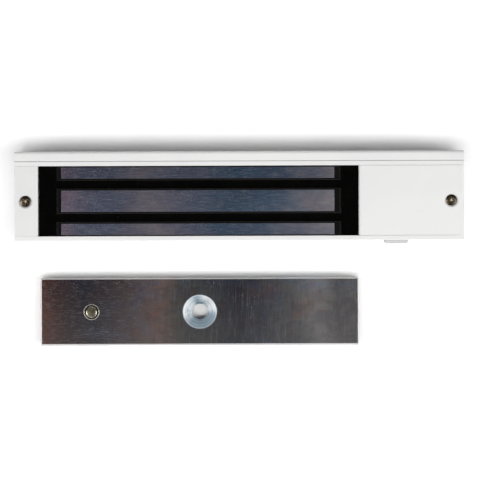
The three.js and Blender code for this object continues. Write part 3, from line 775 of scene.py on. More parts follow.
@dataclass(frozen=True)
class PoleSteel:
    """Ground steel of the pole faces: tint bands along it, fine grinding lines, specks and scratches, and a
    painted highlight in a bright rim colour on the rounded edges.
    """

    left: float
    right: float
    front: float
    back: float
    name: str = "ground_pole_steel"
    rim: Colour = (0.85, 0.84, 0.86, 1)
    bands: tuple[tuple[float, Colour], ...] = (
        (0.0, (0.50, 0.40, 0.52, 1)),
        (0.09, (0.27, 0.31, 0.46, 1)),
        (0.2, (0.26, 0.31, 0.45, 1)),
        (0.34, (0.56, 0.49, 0.55, 1)),
        (0.45, (0.34, 0.36, 0.50, 1)),
        (0.62, (0.15, 0.28, 0.43, 1)),
        (0.8, (0.23, 0.35, 0.52, 1)),
        (1.0, (0.80, 0.77, 0.82, 1)),
    )

    def make(self) -> bpy.types.Material:
        """The material."""
        s = Shader(self.name, Metallic=1.0)
        at = s.place()
        along = s.span("X", self.left, self.right)
        across = s.span("Y", self.front, self.back)
        wander = s.grain(s.place((20, 70, 20)), 1, 3)
        base = s.ramp(along + 0.3 * wander - 0.15, self.bands)
        base = s.blend(s.step(across, 0.4, 1.0) * 0.9, base, s.tinted(base, (0.62, 0.68, 0.72, 1)))
        cloud = s.grain(s.place((110, 260, 100)), 1, 5, 0.65, 0.8)
        tint = s.grain(s.place((55, 90, 50), (0.2, 0.1, 0)), 1, 3)
        lines = s.grain(s.place((130, 1700, 900)), 1, 4, 0.7)
        fine = s.grain(s.place((700, 3600, 900)), 1, 3, 0.7)
        crowd = s.step(s.grain(at, 120, 3) + 0.16 * s.step(along, 0.25, 0.0), 0.5, 0.64)
        speck = s.step(s.cells(s.place((1, 1.6, 1)), 760), 0.3, 0.1) * crowd
        scratch = s.step(s.grain(s.place((240, 2300, 900), (0.0, 0.004, 0)), 1, 2), 0.66, 0.74)
        colour = s.layered(
            base,
            (s.step(tint, 0.4, 0.66), s.tinted(base, (1.0, 0.84, 0.86, 1))),
            (s.step(cloud, 0.34, 0.68) * 0.8, s.tinted(base, (0.62, 0.64, 0.74, 1))),
            (s.step(lines, 0.46, 0.72) * 0.42, (0.8, 0.77, 0.82, 1)),
            (s.step(fine, 0.5, 0.72) * 0.3, (0.9, 0.87, 0.9, 1)),
            (speck * 0.7, (0.98, 0.95, 0.94, 1)),
            (scratch * 0.4, (0.93, 0.92, 0.94, 1)),
            # Painted highlight: the bright rim colour on the rounded edges.
            (s.edge() * 0.85, self.rim),
        )
        rough = 0.22 + 0.14 * cloud + 0.1 * lines + 0.1 * scratch
        return s.finish(colour, rough, s.bump(lines + 0.5 * fine, 0.00002, 0.3))


@dataclass(frozen=True)
class ClearZinc:
    """Clear zinc plating on the armature plate: reddish and bluish clouds, stains, and a light edge colour
    that is rubbed wear on the roundings and painted reflection on the chamfers and the sides.
    """

    left: float
    right: float
    front: float
    back: float
    name: str = "clear_zinc"
    rim: Colour = (0.66, 0.65, 0.64, 1)
    bands: tuple[tuple[float, Colour], ...] = (
        (0.0, (0.31, 0.13, 0.10, 1)),
        (0.07, (0.16, 0.09, 0.09, 1)),
        (0.16, (0.08, 0.08, 0.11, 1)),
        (0.37, (0.50, 0.35, 0.31, 1)),
        (0.43, (0.24, 0.24, 0.23, 1)),
        (0.62, (0.09, 0.11, 0.15, 1)),
        (0.7, (0.16, 0.18, 0.22, 1)),
        (0.8, (0.34, 0.34, 0.35, 1)),
        (0.87, (0.66, 0.64, 0.63, 1)),
        (0.91, (0.60, 0.58, 0.57, 1)),
        (0.95, (0.40, 0.38, 0.38, 1)),
    )

    def make(self) -> bpy.types.Material:
        """The material."""
        s = Shader(self.name, Metallic=1.0)
        at = s.place()
        along = s.span("X", self.left, self.right)
        across = s.span("Y", self.back, self.front)
        wander = s.grain(s.place((22, 30, 20)), 1, 3)
        base = s.ramp(along + 0.14 * wander - 0.07, self.bands)
        cloud = s.grain(s.place((85, 120, 100)), 1, 6, 0.66, 1.4)
        cool = s.step(s.grain(s.place((40, 55, 40), (0.3, 0.1, 0)), 1, 4, 0.6, 0.8), 0.5, 0.68)
        warm = s.step(s.grain(s.place((38, 50, 40), (0.7, 0.4, 0)), 1, 4, 0.6, 0.8), 0.52, 0.7)
        brushed = s.grain(s.place((300, 1400, 700)), 1, 4, 0.7)
        rolled = s.grain(s.place((1400, 90, 700)), 1, 4, 0.7)
        fine = s.grain(s.place((1700, 2200, 900)), 1, 3, 0.7)
        speck = s.step(s.cells(s.place((1, 1, 1), (0.5, 0, 0)), 520), 0.22, 0.07)
        speck = speck * s.step(s.grain(at, 90, 3), 0.54, 0.68)
        nick = s.step(s.grain(s.place((1300, 150, 700), (0.1, 0, 0)), 1, 2), 0.72, 0.78)
        scratch = s.step(s.grain(s.place((520, 1900, 700), (0.4, 0, 0)), 1, 2), 0.73, 0.79)
        left_side = s.step(along, 0.5, 0.2)
        grain = brushed * left_side + rolled * (1 - left_side)
        colour = s.blend(s.step(cloud, 0.36, 0.66) * 0.85, base, s.tinted(base, (0.60, 0.62, 0.68, 1)))
        colour = s.blend(cool * 0.8, colour, s.tinted(colour, (0.66, 0.88, 1.2, 1)))
        colour = s.blend(warm * 0.8, colour, s.tinted(colour, (1.2, 0.84, 0.78, 1)))
        colour = s.layered(
            colour,
            (across * 0.26, (0.52, 0.49, 0.49, 1)),
            (s.step(grain, 0.48, 0.74) * 0.32, (0.75, 0.71, 0.71, 1)),
            (s.step(fine, 0.52, 0.72) * 0.2, (0.86, 0.83, 0.84, 1)),
            (speck * 0.6, (0.96, 0.94, 0.9, 1)),
            ((nick + scratch) * 0.4, (0.92, 0.9, 0.9, 1)),
            # The light edge colour: rubbed wear on the roundings, painted reflection on the chamfers and the
            # sides.
            (s.edge() * 0.9, self.rim),
        )
        rough = 0.22 + 0.14 * cloud + 0.08 * grain + 0.06 * cool
        return s.finish(colour, rough, s.bump(grain + 0.5 * fine, 0.00002, 0.3))


@dataclass(frozen=True)
class TurnedZinc:
    """Bluish zinc in the countersink, with the rings that the cutter left round its axis, painted highlights
    on two sides and inside the rim, and a painted dark reflection at the back.
    """

    axis: tuple[float, float]
    rim: float
    name: str = "turned_zinc"
    light: Colour = (0.93, 0.96, 0.97, 1)
    shade: Colour = (0.36, 0.46, 0.54, 1)
    dark_reflection: Colour = (0.12, 0.24, 0.29, 1)
    groove: Colour = (0.16, 0.23, 0.29, 1)

    def make(self) -> bpy.types.Material:
        """The material."""
        s = Shader(self.name, Metallic=0.6)
        flat = s.place((1, 1, 0), (*self.axis, 0))
        reach = s.node("ShaderNodeVectorMath", {"operation": "LENGTH"}, {0: flat}, 1)
        rings = s.grain(s.node("ShaderNodeCombineXYZ", None, {0: reach * 1500}), 1, 4, 0.7)
        broad = s.grain(s.place((260, 260, 90)), 1, 3)
        # Painted highlights: the light colour on two sides of the cone; the shade colour elsewhere.
        glow = self.facing(s, flat, 168, 0.45, 0.92) + self.facing(s, flat, 42, 0.5, 0.95)
        # Painted reflection: a dark patch at the back of the cone.
        teal = self.facing(s, flat, 92, 0.86, 0.98) * s.step(reach, 7.2 * MM, 4.6 * MM)
        # Painted highlight: a bright ring just inside the rim, then a darker ring at the rim.
        inner = s.step(reach, self.rim - 0.9 * MM, self.rim - 0.5 * MM)
        outer = s.step(reach, self.rim - 0.42 * MM, self.rim - 0.2 * MM)
        colour = s.layered(
            s.blend(glow * s.step(broad, 0.2, 0.55), self.shade, self.light),
            (teal * 0.85, self.dark_reflection),
            (s.step(rings, 0.5, 0.36) * 0.5, self.groove),
            (s.step(rings, 0.52, 0.66) * 0.5, (0.98, 0.99, 1, 1)),
            (inner * 0.55, self.light),
            (outer * 0.8, self.groove),
        )
        rough = 0.3 + 0.2 * rings
        return s.finish(colour, rough, s.bump(rings, 0.0001, 0.7))

    def facing(self, s: Shader, flat: Value, degrees: float, low: float, high: float) -> Value:
        """1 on the side of the cone that lies at an angle about its axis, 0 away from it."""
        way = s.node("ShaderNodeVectorMath", {"operation": "NORMALIZE"}, {0: flat})
        aim = (math.cos(math.radians(degrees)), math.sin(math.radians(degrees)), 0)
        toward = s.node("ShaderNodeVectorMath", {"operation": "DOT_PRODUCT"}, {0: way, 1: aim}, 1)
        return s.step(toward, low, high)


@dataclass(frozen=True)
class Metal:
    """A bare or plated metal with tarnish, fine grain and rubbed edges."""

    name: str
    bright: Colour
    dull: Colour
    roughness: float = 0.26
    cloud: float = 420
    grain: float = 3500
    metallic: float = 1.0

    def make(self) -> bpy.types.Material:
        """The material."""
        s = Shader(self.name, Metallic=self.metallic)
        at = s.place()
        cloud = s.grain(at, self.cloud, 4, 0.6, 0.5)
        fine = s.grain(at, self.grain, 3)
        pit = s.step(s.cells(at, self.cloud * 3), 0.12, 0.04)
        colour = s.blend(s.step(cloud, 0.36, 0.66), self.bright, self.dull)
        colour = s.layered(colour, (pit * 0.4, self.dull), (s.edge() * 0.5, (0.92, 0.9, 0.86, 1)))
        rough = self.roughness + 0.2 * cloud + 0.06 * fine
        return s.finish(colour, rough, s.bump(fine + cloud, 0.00002, 0.35))


@dataclass(frozen=True)
class Moulded:
    """A moulded, dipped or cast plastic, with slight flow marks, dust and a fine texture."""

    name: str
    colour: Colour
    second: Colour
    roughness: float = 0.42
    texture: float = 2600
    depth: float = 0.00004
    ior: float = 1.46
    coat: float = 0.0
    rim: Optional[Colour] = None

    def make(self) -> bpy.types.Material:
        """The material."""
        s = Shader(self.name, IOR=self.ior, Coat_Weight=self.coat)
        at = s.place()
        flow = s.grain(at, 120, 4, 0.6, 0.4)
        fine = s.grain(at, self.texture, 2)
        dust = s.step(s.cells(at, 700), 0.09, 0.03) * s.step(s.grain(at, 160, 2), 0.52, 0.62)
        # Edges: rubbed a little towards the second colour; a given rim colour is laid on them strongly as
        # painted highlight.
        rubbed = s.edge() * (0.25 if self.rim is None else 0.8)
        colour = s.blend(s.step(flow, 0.35, 0.68), self.colour, self.second)
        colour = s.layered(colour, (dust * 0.25, tone(150, 148, 142)), (rubbed, self.rim or self.second))
        rough = self.roughness + 0.18 * flow - 0.09
        return s.finish(colour, rough, s.bump(fine, self.depth, 0.4))


@dataclass(frozen=True)
class Frosted:
    """Frosted plastic that light passes into."""

    name: str = "frosted_plastic"
    light: Colour = tone(176, 176, 175)
    shade: Colour = tone(170, 171, 171)

    def make(self) -> bpy.types.Material:
        """The material."""
        glow = {"Subsurface_Weight": 0.35, "Subsurface_Radius": (0.004,) * 3, "Subsurface_Scale": 0.6}
        s = Shader(self.name, IOR=1.49, **glow)
        at = s.place()
        flow = s.grain(at, 160, 3)
        frost = s.grain(at, 5200, 3)
        colour = s.blend(s.step(flow, 0.4, 0.6), self.light, self.shade)
        colour = s.blend(s.edge() * 0.3, colour, tone(190, 190, 189))
        return s.finish(colour, 0.38 + 0.2 * flow, s.bump(frost, 0.00003, 0.4))


@dataclass(frozen=True)
class SolderMask:
    """Green solder mask over glass cloth."""

    name: str = "green_solder_mask"
    colour: Colour = tone(26, 92, 52)
    second: Colour = tone(18, 74, 42)

    def make(self) -> bpy.types.Material:
        """The material."""
        s = Shader(self.name, IOR=1.5, Coat_Weight=0.3, Coat_Roughness=0.12)
        at = s.place()
        weave = s.node("ShaderNodeTexChecker", None, {"Vector": at, "Scale": 2400}, "Fac")
        flow = s.grain(at, 190, 3)
        colour = s.blend(s.step(flow, 0.35, 0.65), self.colour, self.second)
        colour = s.layered(colour, (weave * 0.12, tone(60, 122, 76)), (s.edge() * 0.7, tone(150, 140, 92)))
        return s.finish(colour, 0.3 + 0.2 * flow, s.bump(weave + flow, 0.00001, 0.3))


@dataclass(frozen=True)
class Tabletop:
    """The pale surface that everything lies on."""

    name: str = "pale_table"
    light: Colour = (0.93, 0.93, 0.93, 1)
    shade: Colour = (0.915, 0.915, 0.917, 1)

    def make(self) -> bpy.types.Material:
        """The material."""
        s = Shader(self.name, Specular_IOR_Level=0.1)
        at = s.place()
        broad = s.grain(at, 3, 2)
        fine = s.grain(at, 900, 2)
        colour = s.blend(s.step(broad, 0.35, 0.65), self.light, self.shade)
        return s.finish(colour, 0.75 + 0.1 * broad, s.bump(fine, 0.00002, 0.1))


class Plating(Enum):
    """The finishes of the small metal parts."""

    # Its dark brown tone is painted reflection of the dark room overhead; its lighter patches are partly
    # tarnish and partly painted highlight.
    DARK_NICKEL = Metal("dark_nickel", tone(132, 119, 102), tone(46, 38, 31), 0.2, 900)
    NICKEL = Metal("bright_nickel", tone(222, 218, 208), tone(170, 164, 152), 0.2)
    # A lighter, less metallic finish in the screw recesses: painted highlight.
    RECESS = Metal("recess_painted_highlight", tone(236, 224, 198), tone(150, 136, 112), 0.34, 1500, 3500, 0.25)
    SATIN_NICKEL = Metal("satin_nickel", tone(240, 238, 234), tone(206, 203, 198), 0.36)
    # Its khaki tint is painted reflection of the brownish studio round the button.
    KHAKI_NICKEL = Metal("khaki_nickel", tone(212, 206, 188), tone(146, 132, 106), 0.16, 190)
    STEEL = Metal("zinc_steel", tone(206, 208, 212), tone(150, 152, 158), 0.28)
    BRASS = Metal("machined_brass", tone(226, 196, 124), tone(178, 142, 76), 0.24)
    COPPER = Metal("enamelled_copper", tone(206, 112, 66), tone(158, 74, 40), 0.2, 900)
    TIN = Metal("solder", tone(214, 214, 212), tone(164, 165, 166), 0.22, 1400)


class Plastic(Enum):
    """The plastics, and what is dipped or cast."""

    EPOXY = Moulded(
        "black_epoxy", (0.0011, 0.001, 0.0009, 1), (0.0017, 0.0015, 0.0014, 1), 0.16, 260, 0.00012, 1.12
    )
    NYLON = Moulded(
        # The nylon's light rim colour on the collars' edges is painted highlight.
        "dark_nylon", tone(11, 11, 11), tone(16, 15, 15), 0.4, 900, 0.00006, 1.15, rim=tone(62, 60, 60)
    )
    TERMINAL = Moulded("green_terminal", tone(52, 150, 84), tone(44, 136, 76), 0.4)
    BLACK = Moulded("black_moulding", tone(36, 36, 37), tone(28, 28, 29), 0.46, 5200)
    DISC = Moulded("blue_dip", tone(38, 92, 168), tone(30, 78, 150), 0.24, 500, 0.00008, 1.5, 0.5)
    RED_WIRE = Moulded("red_insulation", tone(184, 34, 30), tone(166, 26, 24), 0.34, 1500)
    BLACK_WIRE = Moulded("black_insulation", tone(30, 30, 31), tone(22, 22, 23), 0.34, 1500)
    RESISTOR = Moulded("resistor_glaze", tone(24, 24, 26), tone(34, 34, 36), 0.22, 1800)


@functools.cache
def material(choice: Any) -> bpy.types.Material:
    """The material of a finish or of a named option, made when it is first asked for."""
    return (choice.value if isinstance(choice, Enum) else choice).make()


# ---------------------------------------------------------------- repeated pieces


class Repeats:
    """The Geometry Nodes trees for what repeats or follows a rule."""

    def __init__(self) -> None:
        """Builds the trees."""
        self.row = self.row_tree()
        self.spring = self.spring_tree()
        self.winding = self.winding_tree(8)

    @staticmethod
    def row_tree() -> Shape:
        """A row of copies of one item."""
        inputs = {
            "Item": "NodeSocketObject",
            "Count": "NodeSocketInt",
            "Start": "NodeSocketVector",
            "Step": "NodeSocketVector",
        }
        t = Shape("row_of_items", inputs)
        sockets = {"Count": t.given("Count"), "Start Location": t.given("Start"), "Offset": t.given("Step")}
        line = t.node("GeometryNodeMeshLine", {"mode": "OFFSET"}, sockets)
        item = t.node("GeometryNodeObjectInfo", None, {"Object": t.given("Item")}, "Geometry")
        t.close(t.node("GeometryNodeInstanceOnPoints", None, {"Points": line, "Instance": item}))
        return t

    @staticmethod
    def spring_tree() -> Shape:
        """A helical spring that stands on its foot."""
        inputs = {
            "Radius": "NodeSocketFloat",
            "Turns": "NodeSocketFloat",
            "Height": "NodeSocketFloat",
            "Wire": "NodeSocketFloat",
            "Foot": "NodeSocketVector",
        }
        t = Shape("helical_spring", inputs)
        sizes = {
            "Resolution": 40,
            "Rotations": t.given("Turns"),
            "Start Radius": t.given("Radius"),
            "End Radius": t.given("Radius"),
            "Height": t.given("Height"),
        }
        path = t.node("GeometryNodeCurveSpiral", None, sizes)
        round_wire = {"Resolution": 12, "Radius": t.given("Wire")}
        section = t.node("GeometryNodeCurvePrimitiveCircle", None, round_wire)
        swept = {"Curve": path, "Profile Curve": section, "Fill Caps": True}
        coil = t.node("GeometryNodeCurveToMesh", None, swept)
        t.close(t.node("GeometryNodeTransform", None, {"Geometry": coil, "Translation": t.given("Foot")}))
        return t

    @staticmethod
    def winding_tree(layers: int) -> Shape:
        """Layers of racetrack turns, one outside the other, each a stack of loops."""
        inputs = {
            "Length": "NodeSocketFloat",
            "Width": "NodeSocketFloat",
            "Corner": "NodeSocketFloat",
            "Wire": "NodeSocketFloat",
            "Turns": "NodeSocketInt",
            "Foot": "NodeSocketVector",
        }
        t = Shape("racetrack_winding", inputs)
        wire_radius = t.given("Wire")
        round_wire = {"Resolution": 6, "Radius": wire_radius * 0.97}
        section = t.node("GeometryNodeCurvePrimitiveCircle", None, round_wire)
        loops = []
        for layer in range(layers):
            out = wire_radius * (2 * layer + 1)
            sizes = {"Width": t.given("Length") + 2 * out, "Height": t.given("Width") + 2 * out}
            track = t.node("GeometryNodeCurvePrimitiveQuadrilateral", None, sizes)
            corner = {"Curve": track, "Radius": t.given("Corner") + out, "Count": 5}
            track = t.node("GeometryNodeFilletCurve", {"mode": "POLY"}, corner)
            loops.append(t.node("GeometryNodeCurveToMesh", None, {"Curve": track, "Profile Curve": section}))
        turn = t.node("GeometryNodeJoinGeometry", None, {0: loops})
        step = t.node("ShaderNodeCombineXYZ", None, {2: wire_radius * 2})
        sockets = {"Count": t.given("Turns"), "Start Location": t.given("Foot"), "Offset": step}
        stack = t.node("GeometryNodeMeshLine", {"mode": "OFFSET"}, sockets)
        t.close(t.node("GeometryNodeInstanceOnPoints", None, {"Points": stack, "Instance": turn}))
        return t

    def row_of(
        self,
        name: str,
        item: bpy.types.Object,
        start: Vector,
        step: Vector,
        count: int,
        finish: Any,
        *nodes: str,
    ) -> bpy.types.Object:
        """A row of copies of an item on the lock's body. The item is removed.

        Args:
            name: The row's name.
            item: The item, made round the origin.
            start: Where the first copy is.
            step: From one copy to the next.
            count: How many there are.
            finish: Their finish.
            nodes: The nodes they stand for.

        Returns:
            The row as one mesh.
        """
        sizes = {"Item": item, "Count": count, "Start": start, "Step": step}
        made = self.row.make(name, Finish=material(finish), **sizes)
        bpy.data.objects.remove(item)
        return install(made, Body.LOCK, "nickel", *nodes)


@dataclass(frozen=True)
class Fastener:
    """A screw about Z, whose shank points down and whose head starts at zero.

    Attributes:
        head: Radius of the head.
        sink: Height of the head's cone, 0 for a flat seat.
        side: Height of the head's straight side.
        dome: Height of the head's crown.
        shank: Radius of the shank.
        length: Length of the shank.
        pitch: Thread pitch.
        knurl: Depth of the knurl on the head's side.
    """

    head: float
    sink: float
    side: float
    dome: float
    shank: float
    length: float
    pitch: float
    knurl: float = 0.0

    @property
    def top(self) -> float:
        """The height of the head's highest point."""
        return self.sink + self.side + self.dome

    def make(self, name: str, way: Way, place: Vector, tool: bpy.types.Object) -> bpy.types.Object:
        """The screw, with a tool cut out of its head.

        Args:
            name: The screw's name.
            way: Where its head points.
            place: Where its zero is.
            tool: What cuts the recess, made at the origin with its head up.

        Returns:
            The screw.
        """
        lathe = Lathe(sides=72 if self.knurl else 40, pitch=self.pitch)
        point, seat, band, plain = 0.35 * self.shank, 0.12 * MM, 0.7 * MM, 0.5 * MM
        tip = -self.length
        rings = [Ring(0, tip), Ring(self.shank - point, tip), Ring(self.shank - 0.1 * point, tip + point)]
        rings += lathe.threaded(self.shank, tip + 1.2 * point, -0.25 * MM, 0.14 * self.shank)
        low, high = self.sink, self.sink + self.side
        if self.sink:
            rings += [Ring(self.shank, 0.0), Ring(self.head, low)]
        else:
            rings += [Ring(self.head - 0.15 * MM, 0.0), Ring(self.head, seat)]
        if self.knurl:
            rings += [Ring(self.head, low + plain), Ring(self.head, low + band, 0, self.knurl)]
            rings += [Ring(self.head, high - band, 0, self.knurl), Ring(self.head, high - plain)]
        rings.append(Ring(self.head, high))
        for k in range(1, 6):
            angle = k * math.pi / 12
            rings.append(Ring(self.head * math.cos(angle), high + self.dome * math.sin(angle)))
        rings.append(Ring(0, high + self.dome))
        screw = carved(lathe.turn(name, rings, Way.UP, Vector()), tool)
        screw.data.transform(Matrix.Translation(place) @ way.value)
        return screw


# ---------------------------------------------------------------- sub-assemblies


@dataclass
class Casing:
    """The channel, the mounting bar, and what holds them.

    Attributes:
        repeats: The trees for what repeats.
        edge: Rounding of the channel's and the bar's edges.
        dam_edge: Rounding of the dams' edges.
        post_edge: Rounding of the cover posts' edges.
        bolt: The two bolts that hold the bar.
        bolt_hex: Width across the flats of the bolts' sockets.
        bolt_socket: Depth of the sockets.
        core_screw: The screws that hold the core from behind.
        core_cross: Their recess.
        core_screw_count: How many of them there are.
        closing: How much closer than the plain shapes the bar sits to the channel.
    """

    repeats: Repeats
    edge: float = 0.07 * MM
    dam_edge: float = 0.15 * MM
    post_edge: float = 0.18 * MM
    bolt: Fastener = Fastener(4.25 * MM, 0, 4.8 * MM, 0.4 * MM, 2.4 * MM, 7.55 * MM, 0.8 * MM, 0.16 * MM)
    bolt_hex: float = 4.0 * MM
    bolt_socket: float = 2.6 * MM
    core_screw: Fastener = Fastener(3.9 * MM, 1.95 * MM, 0.05 * MM, 0.02 * MM, 1.95 * MM, 6.3 * MM, 0.7 * MM)
    core_cross: Cross = Cross(2.2 * MM, 0.75 * MM, 1.3 * MM)
    core_screw_count: int = 3
    closing: float = 0.11 * MM

    def build(self) -> None:
        """Builds every piece of the casing."""
        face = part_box("mounting_plate")[0].y

        def closer(at: Vector) -> Vector:
            """A corner of the bar, nearer to the channel."""
            return moved(at, "y", face, -self.closing)

        # The channel and the bar take the lighter copy of the coat as painted light.
        dressed("channel_shell", ["housing_channel"], self.edge, WHITE_PAINTED_LIGHTER, "white_paint")
        bar = ("mounting_bar", ["mounting_plate"], self.edge, WHITE_PAINTED_LIGHTER, "white_paint", Body.BAR)
        dressed(*bar, reshape=closer)
        for side in ("left", "right"):
            dressed(side + "_potting_dam", [side + "_dam"], self.dam_edge, PowderCoat(), "white_paint")
        self.build_bolts()
        self.build_core_screws()
        for end in ("wiring", "end"):
            dressed(end + "_cover_pillar", [end + "_cover_post"], self.post_edge, Plating.BRASS, "brass")

    def build_bolts(self) -> None:
        """The two socket-head bolts, whose heads are inside and whose threads go up into the bar."""
        nodes = ("left_body_bolt", "right_body_bolt")
        left, right = (middle_of(node) for node in nodes)
        top = self.bolt.top
        levels = [(z, hexagon(self.bolt_hex)) for z in (top - self.bolt_socket, top + CLEAR)]
        bolt = self.bolt.make("body_bolt", Way.FRONT, Vector(), prism("hex_tool", levels))
        start = Vector((left.x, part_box(nodes[0])[0].y + top, left.z))
        step = Vector((right.x - left.x, 0, 0))
        self.repeats.row_of("body_bolts", bolt, start, step, 2, Plating.STEEL, *nodes)

    def build_core_screws(self) -> None:
        """The flat-headed screws that go in through the channel's back."""
        first, second = middle_of("core_screw_1"), middle_of("core_screw_2")
        screw, count = self.core_screw, self.core_screw_count
        item = screw.make("core_screw", Way.DOWN, Vector(), self.core_cross.tool(screw.top))
        start = Vector((first.x, first.y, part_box("core_screw_1")[0].z + screw.top))
        step = Vector((second.x - first.x, 0, 0))
        names = [f"core_screw_{n + 1}" for n in range(count)]
        self.repeats.row_of("core_screws", item, start, step, count, Plating.STEEL, *names)


@dataclass
class Cover:
    """A folded sheet cover and its raised countersunk screw.

    Attributes:
        name: The name of the cover's node.
        body: The body it lifts with.
        edge: Rounding of the sheet's edges.
        screw: The screw that holds it.
        cross: The screw's recess.
        rim_depth: How far the widest part of the screw's head is below the sheet's face.
        highlight_radius: How far from the screw's middle the recess takes the lighter finish as painted
            highlight.
        highlight_depth: How far down the painted highlight reaches, from the head's highest point.
        crown: How far below that point a face is sure to be in the recess.
        closing: How much closer than the plain shape the sheet sits to the channel's walls.
        lip: How far the sheet's edge at the pole faces is moved along X.
        paint: The sheet's powder coat.
    """

    name: str
    body: Body
    edge: float = 0.08 * MM
    screw: Fastener = Fastener(3.15 * MM, 1.7 * MM, 0.06 * MM, 0.74 * MM, 1.45 * MM, 12 * MM, 0.6 * MM)
    cross: Cross = Cross(1.95 * MM, 1.05 * MM, 1.15 * MM, 0.5, 0.1 * MM)
    rim_depth: float = 0.65 * MM
    highlight_radius: float = 2.0 * MM
    highlight_depth: float = 1.4 * MM
    crown: float = 0.55 * MM
    closing: float = 0.08 * MM
    lip: float = 0.0
    paint: PowderCoat = PowderCoat()

    def build(self) -> None:
        """Builds the sheet and its screw."""
        low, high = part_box(self.name)
        window = low.x if low.x > 0 else high.x

        def closer(at: Vector) -> Vector:
            """A corner of the sheet, nearer to the channel's wall."""
            wide = moved(moved(at, "y", low.y, -self.closing), "y", high.y, self.closing)
            return moved(wide, "x", window, self.lip)

        sheet = (self.name + "_sheet", [self.name], self.edge, self.paint, "white_paint", self.body)
        dressed(*sheet, reshape=closer)
        node, screw = self.name + "_screw", self.screw
        middle = middle_of(node)
        place = Vector((middle.x, middle.y, high.z - self.rim_depth - screw.sink))
        made = screw.make(self.name + "_fixing", Way.UP, place, self.cross.tool(screw.top))
        painted(made, Plating.DARK_NICKEL, Plating.RECESS)
        # Painted highlight: faces down in the recess take the lighter recess finish.
        for face in made.data.polygons:
            depth = screw.top - (face.center - place).z
            cut = face.normal.z < 0.6 or depth > self.crown
            near = away_from(place, face.center) < self.highlight_radius and depth < self.highlight_depth
            face.material_index = int(near and cut)
        install(made, self.body, "nickel", node)


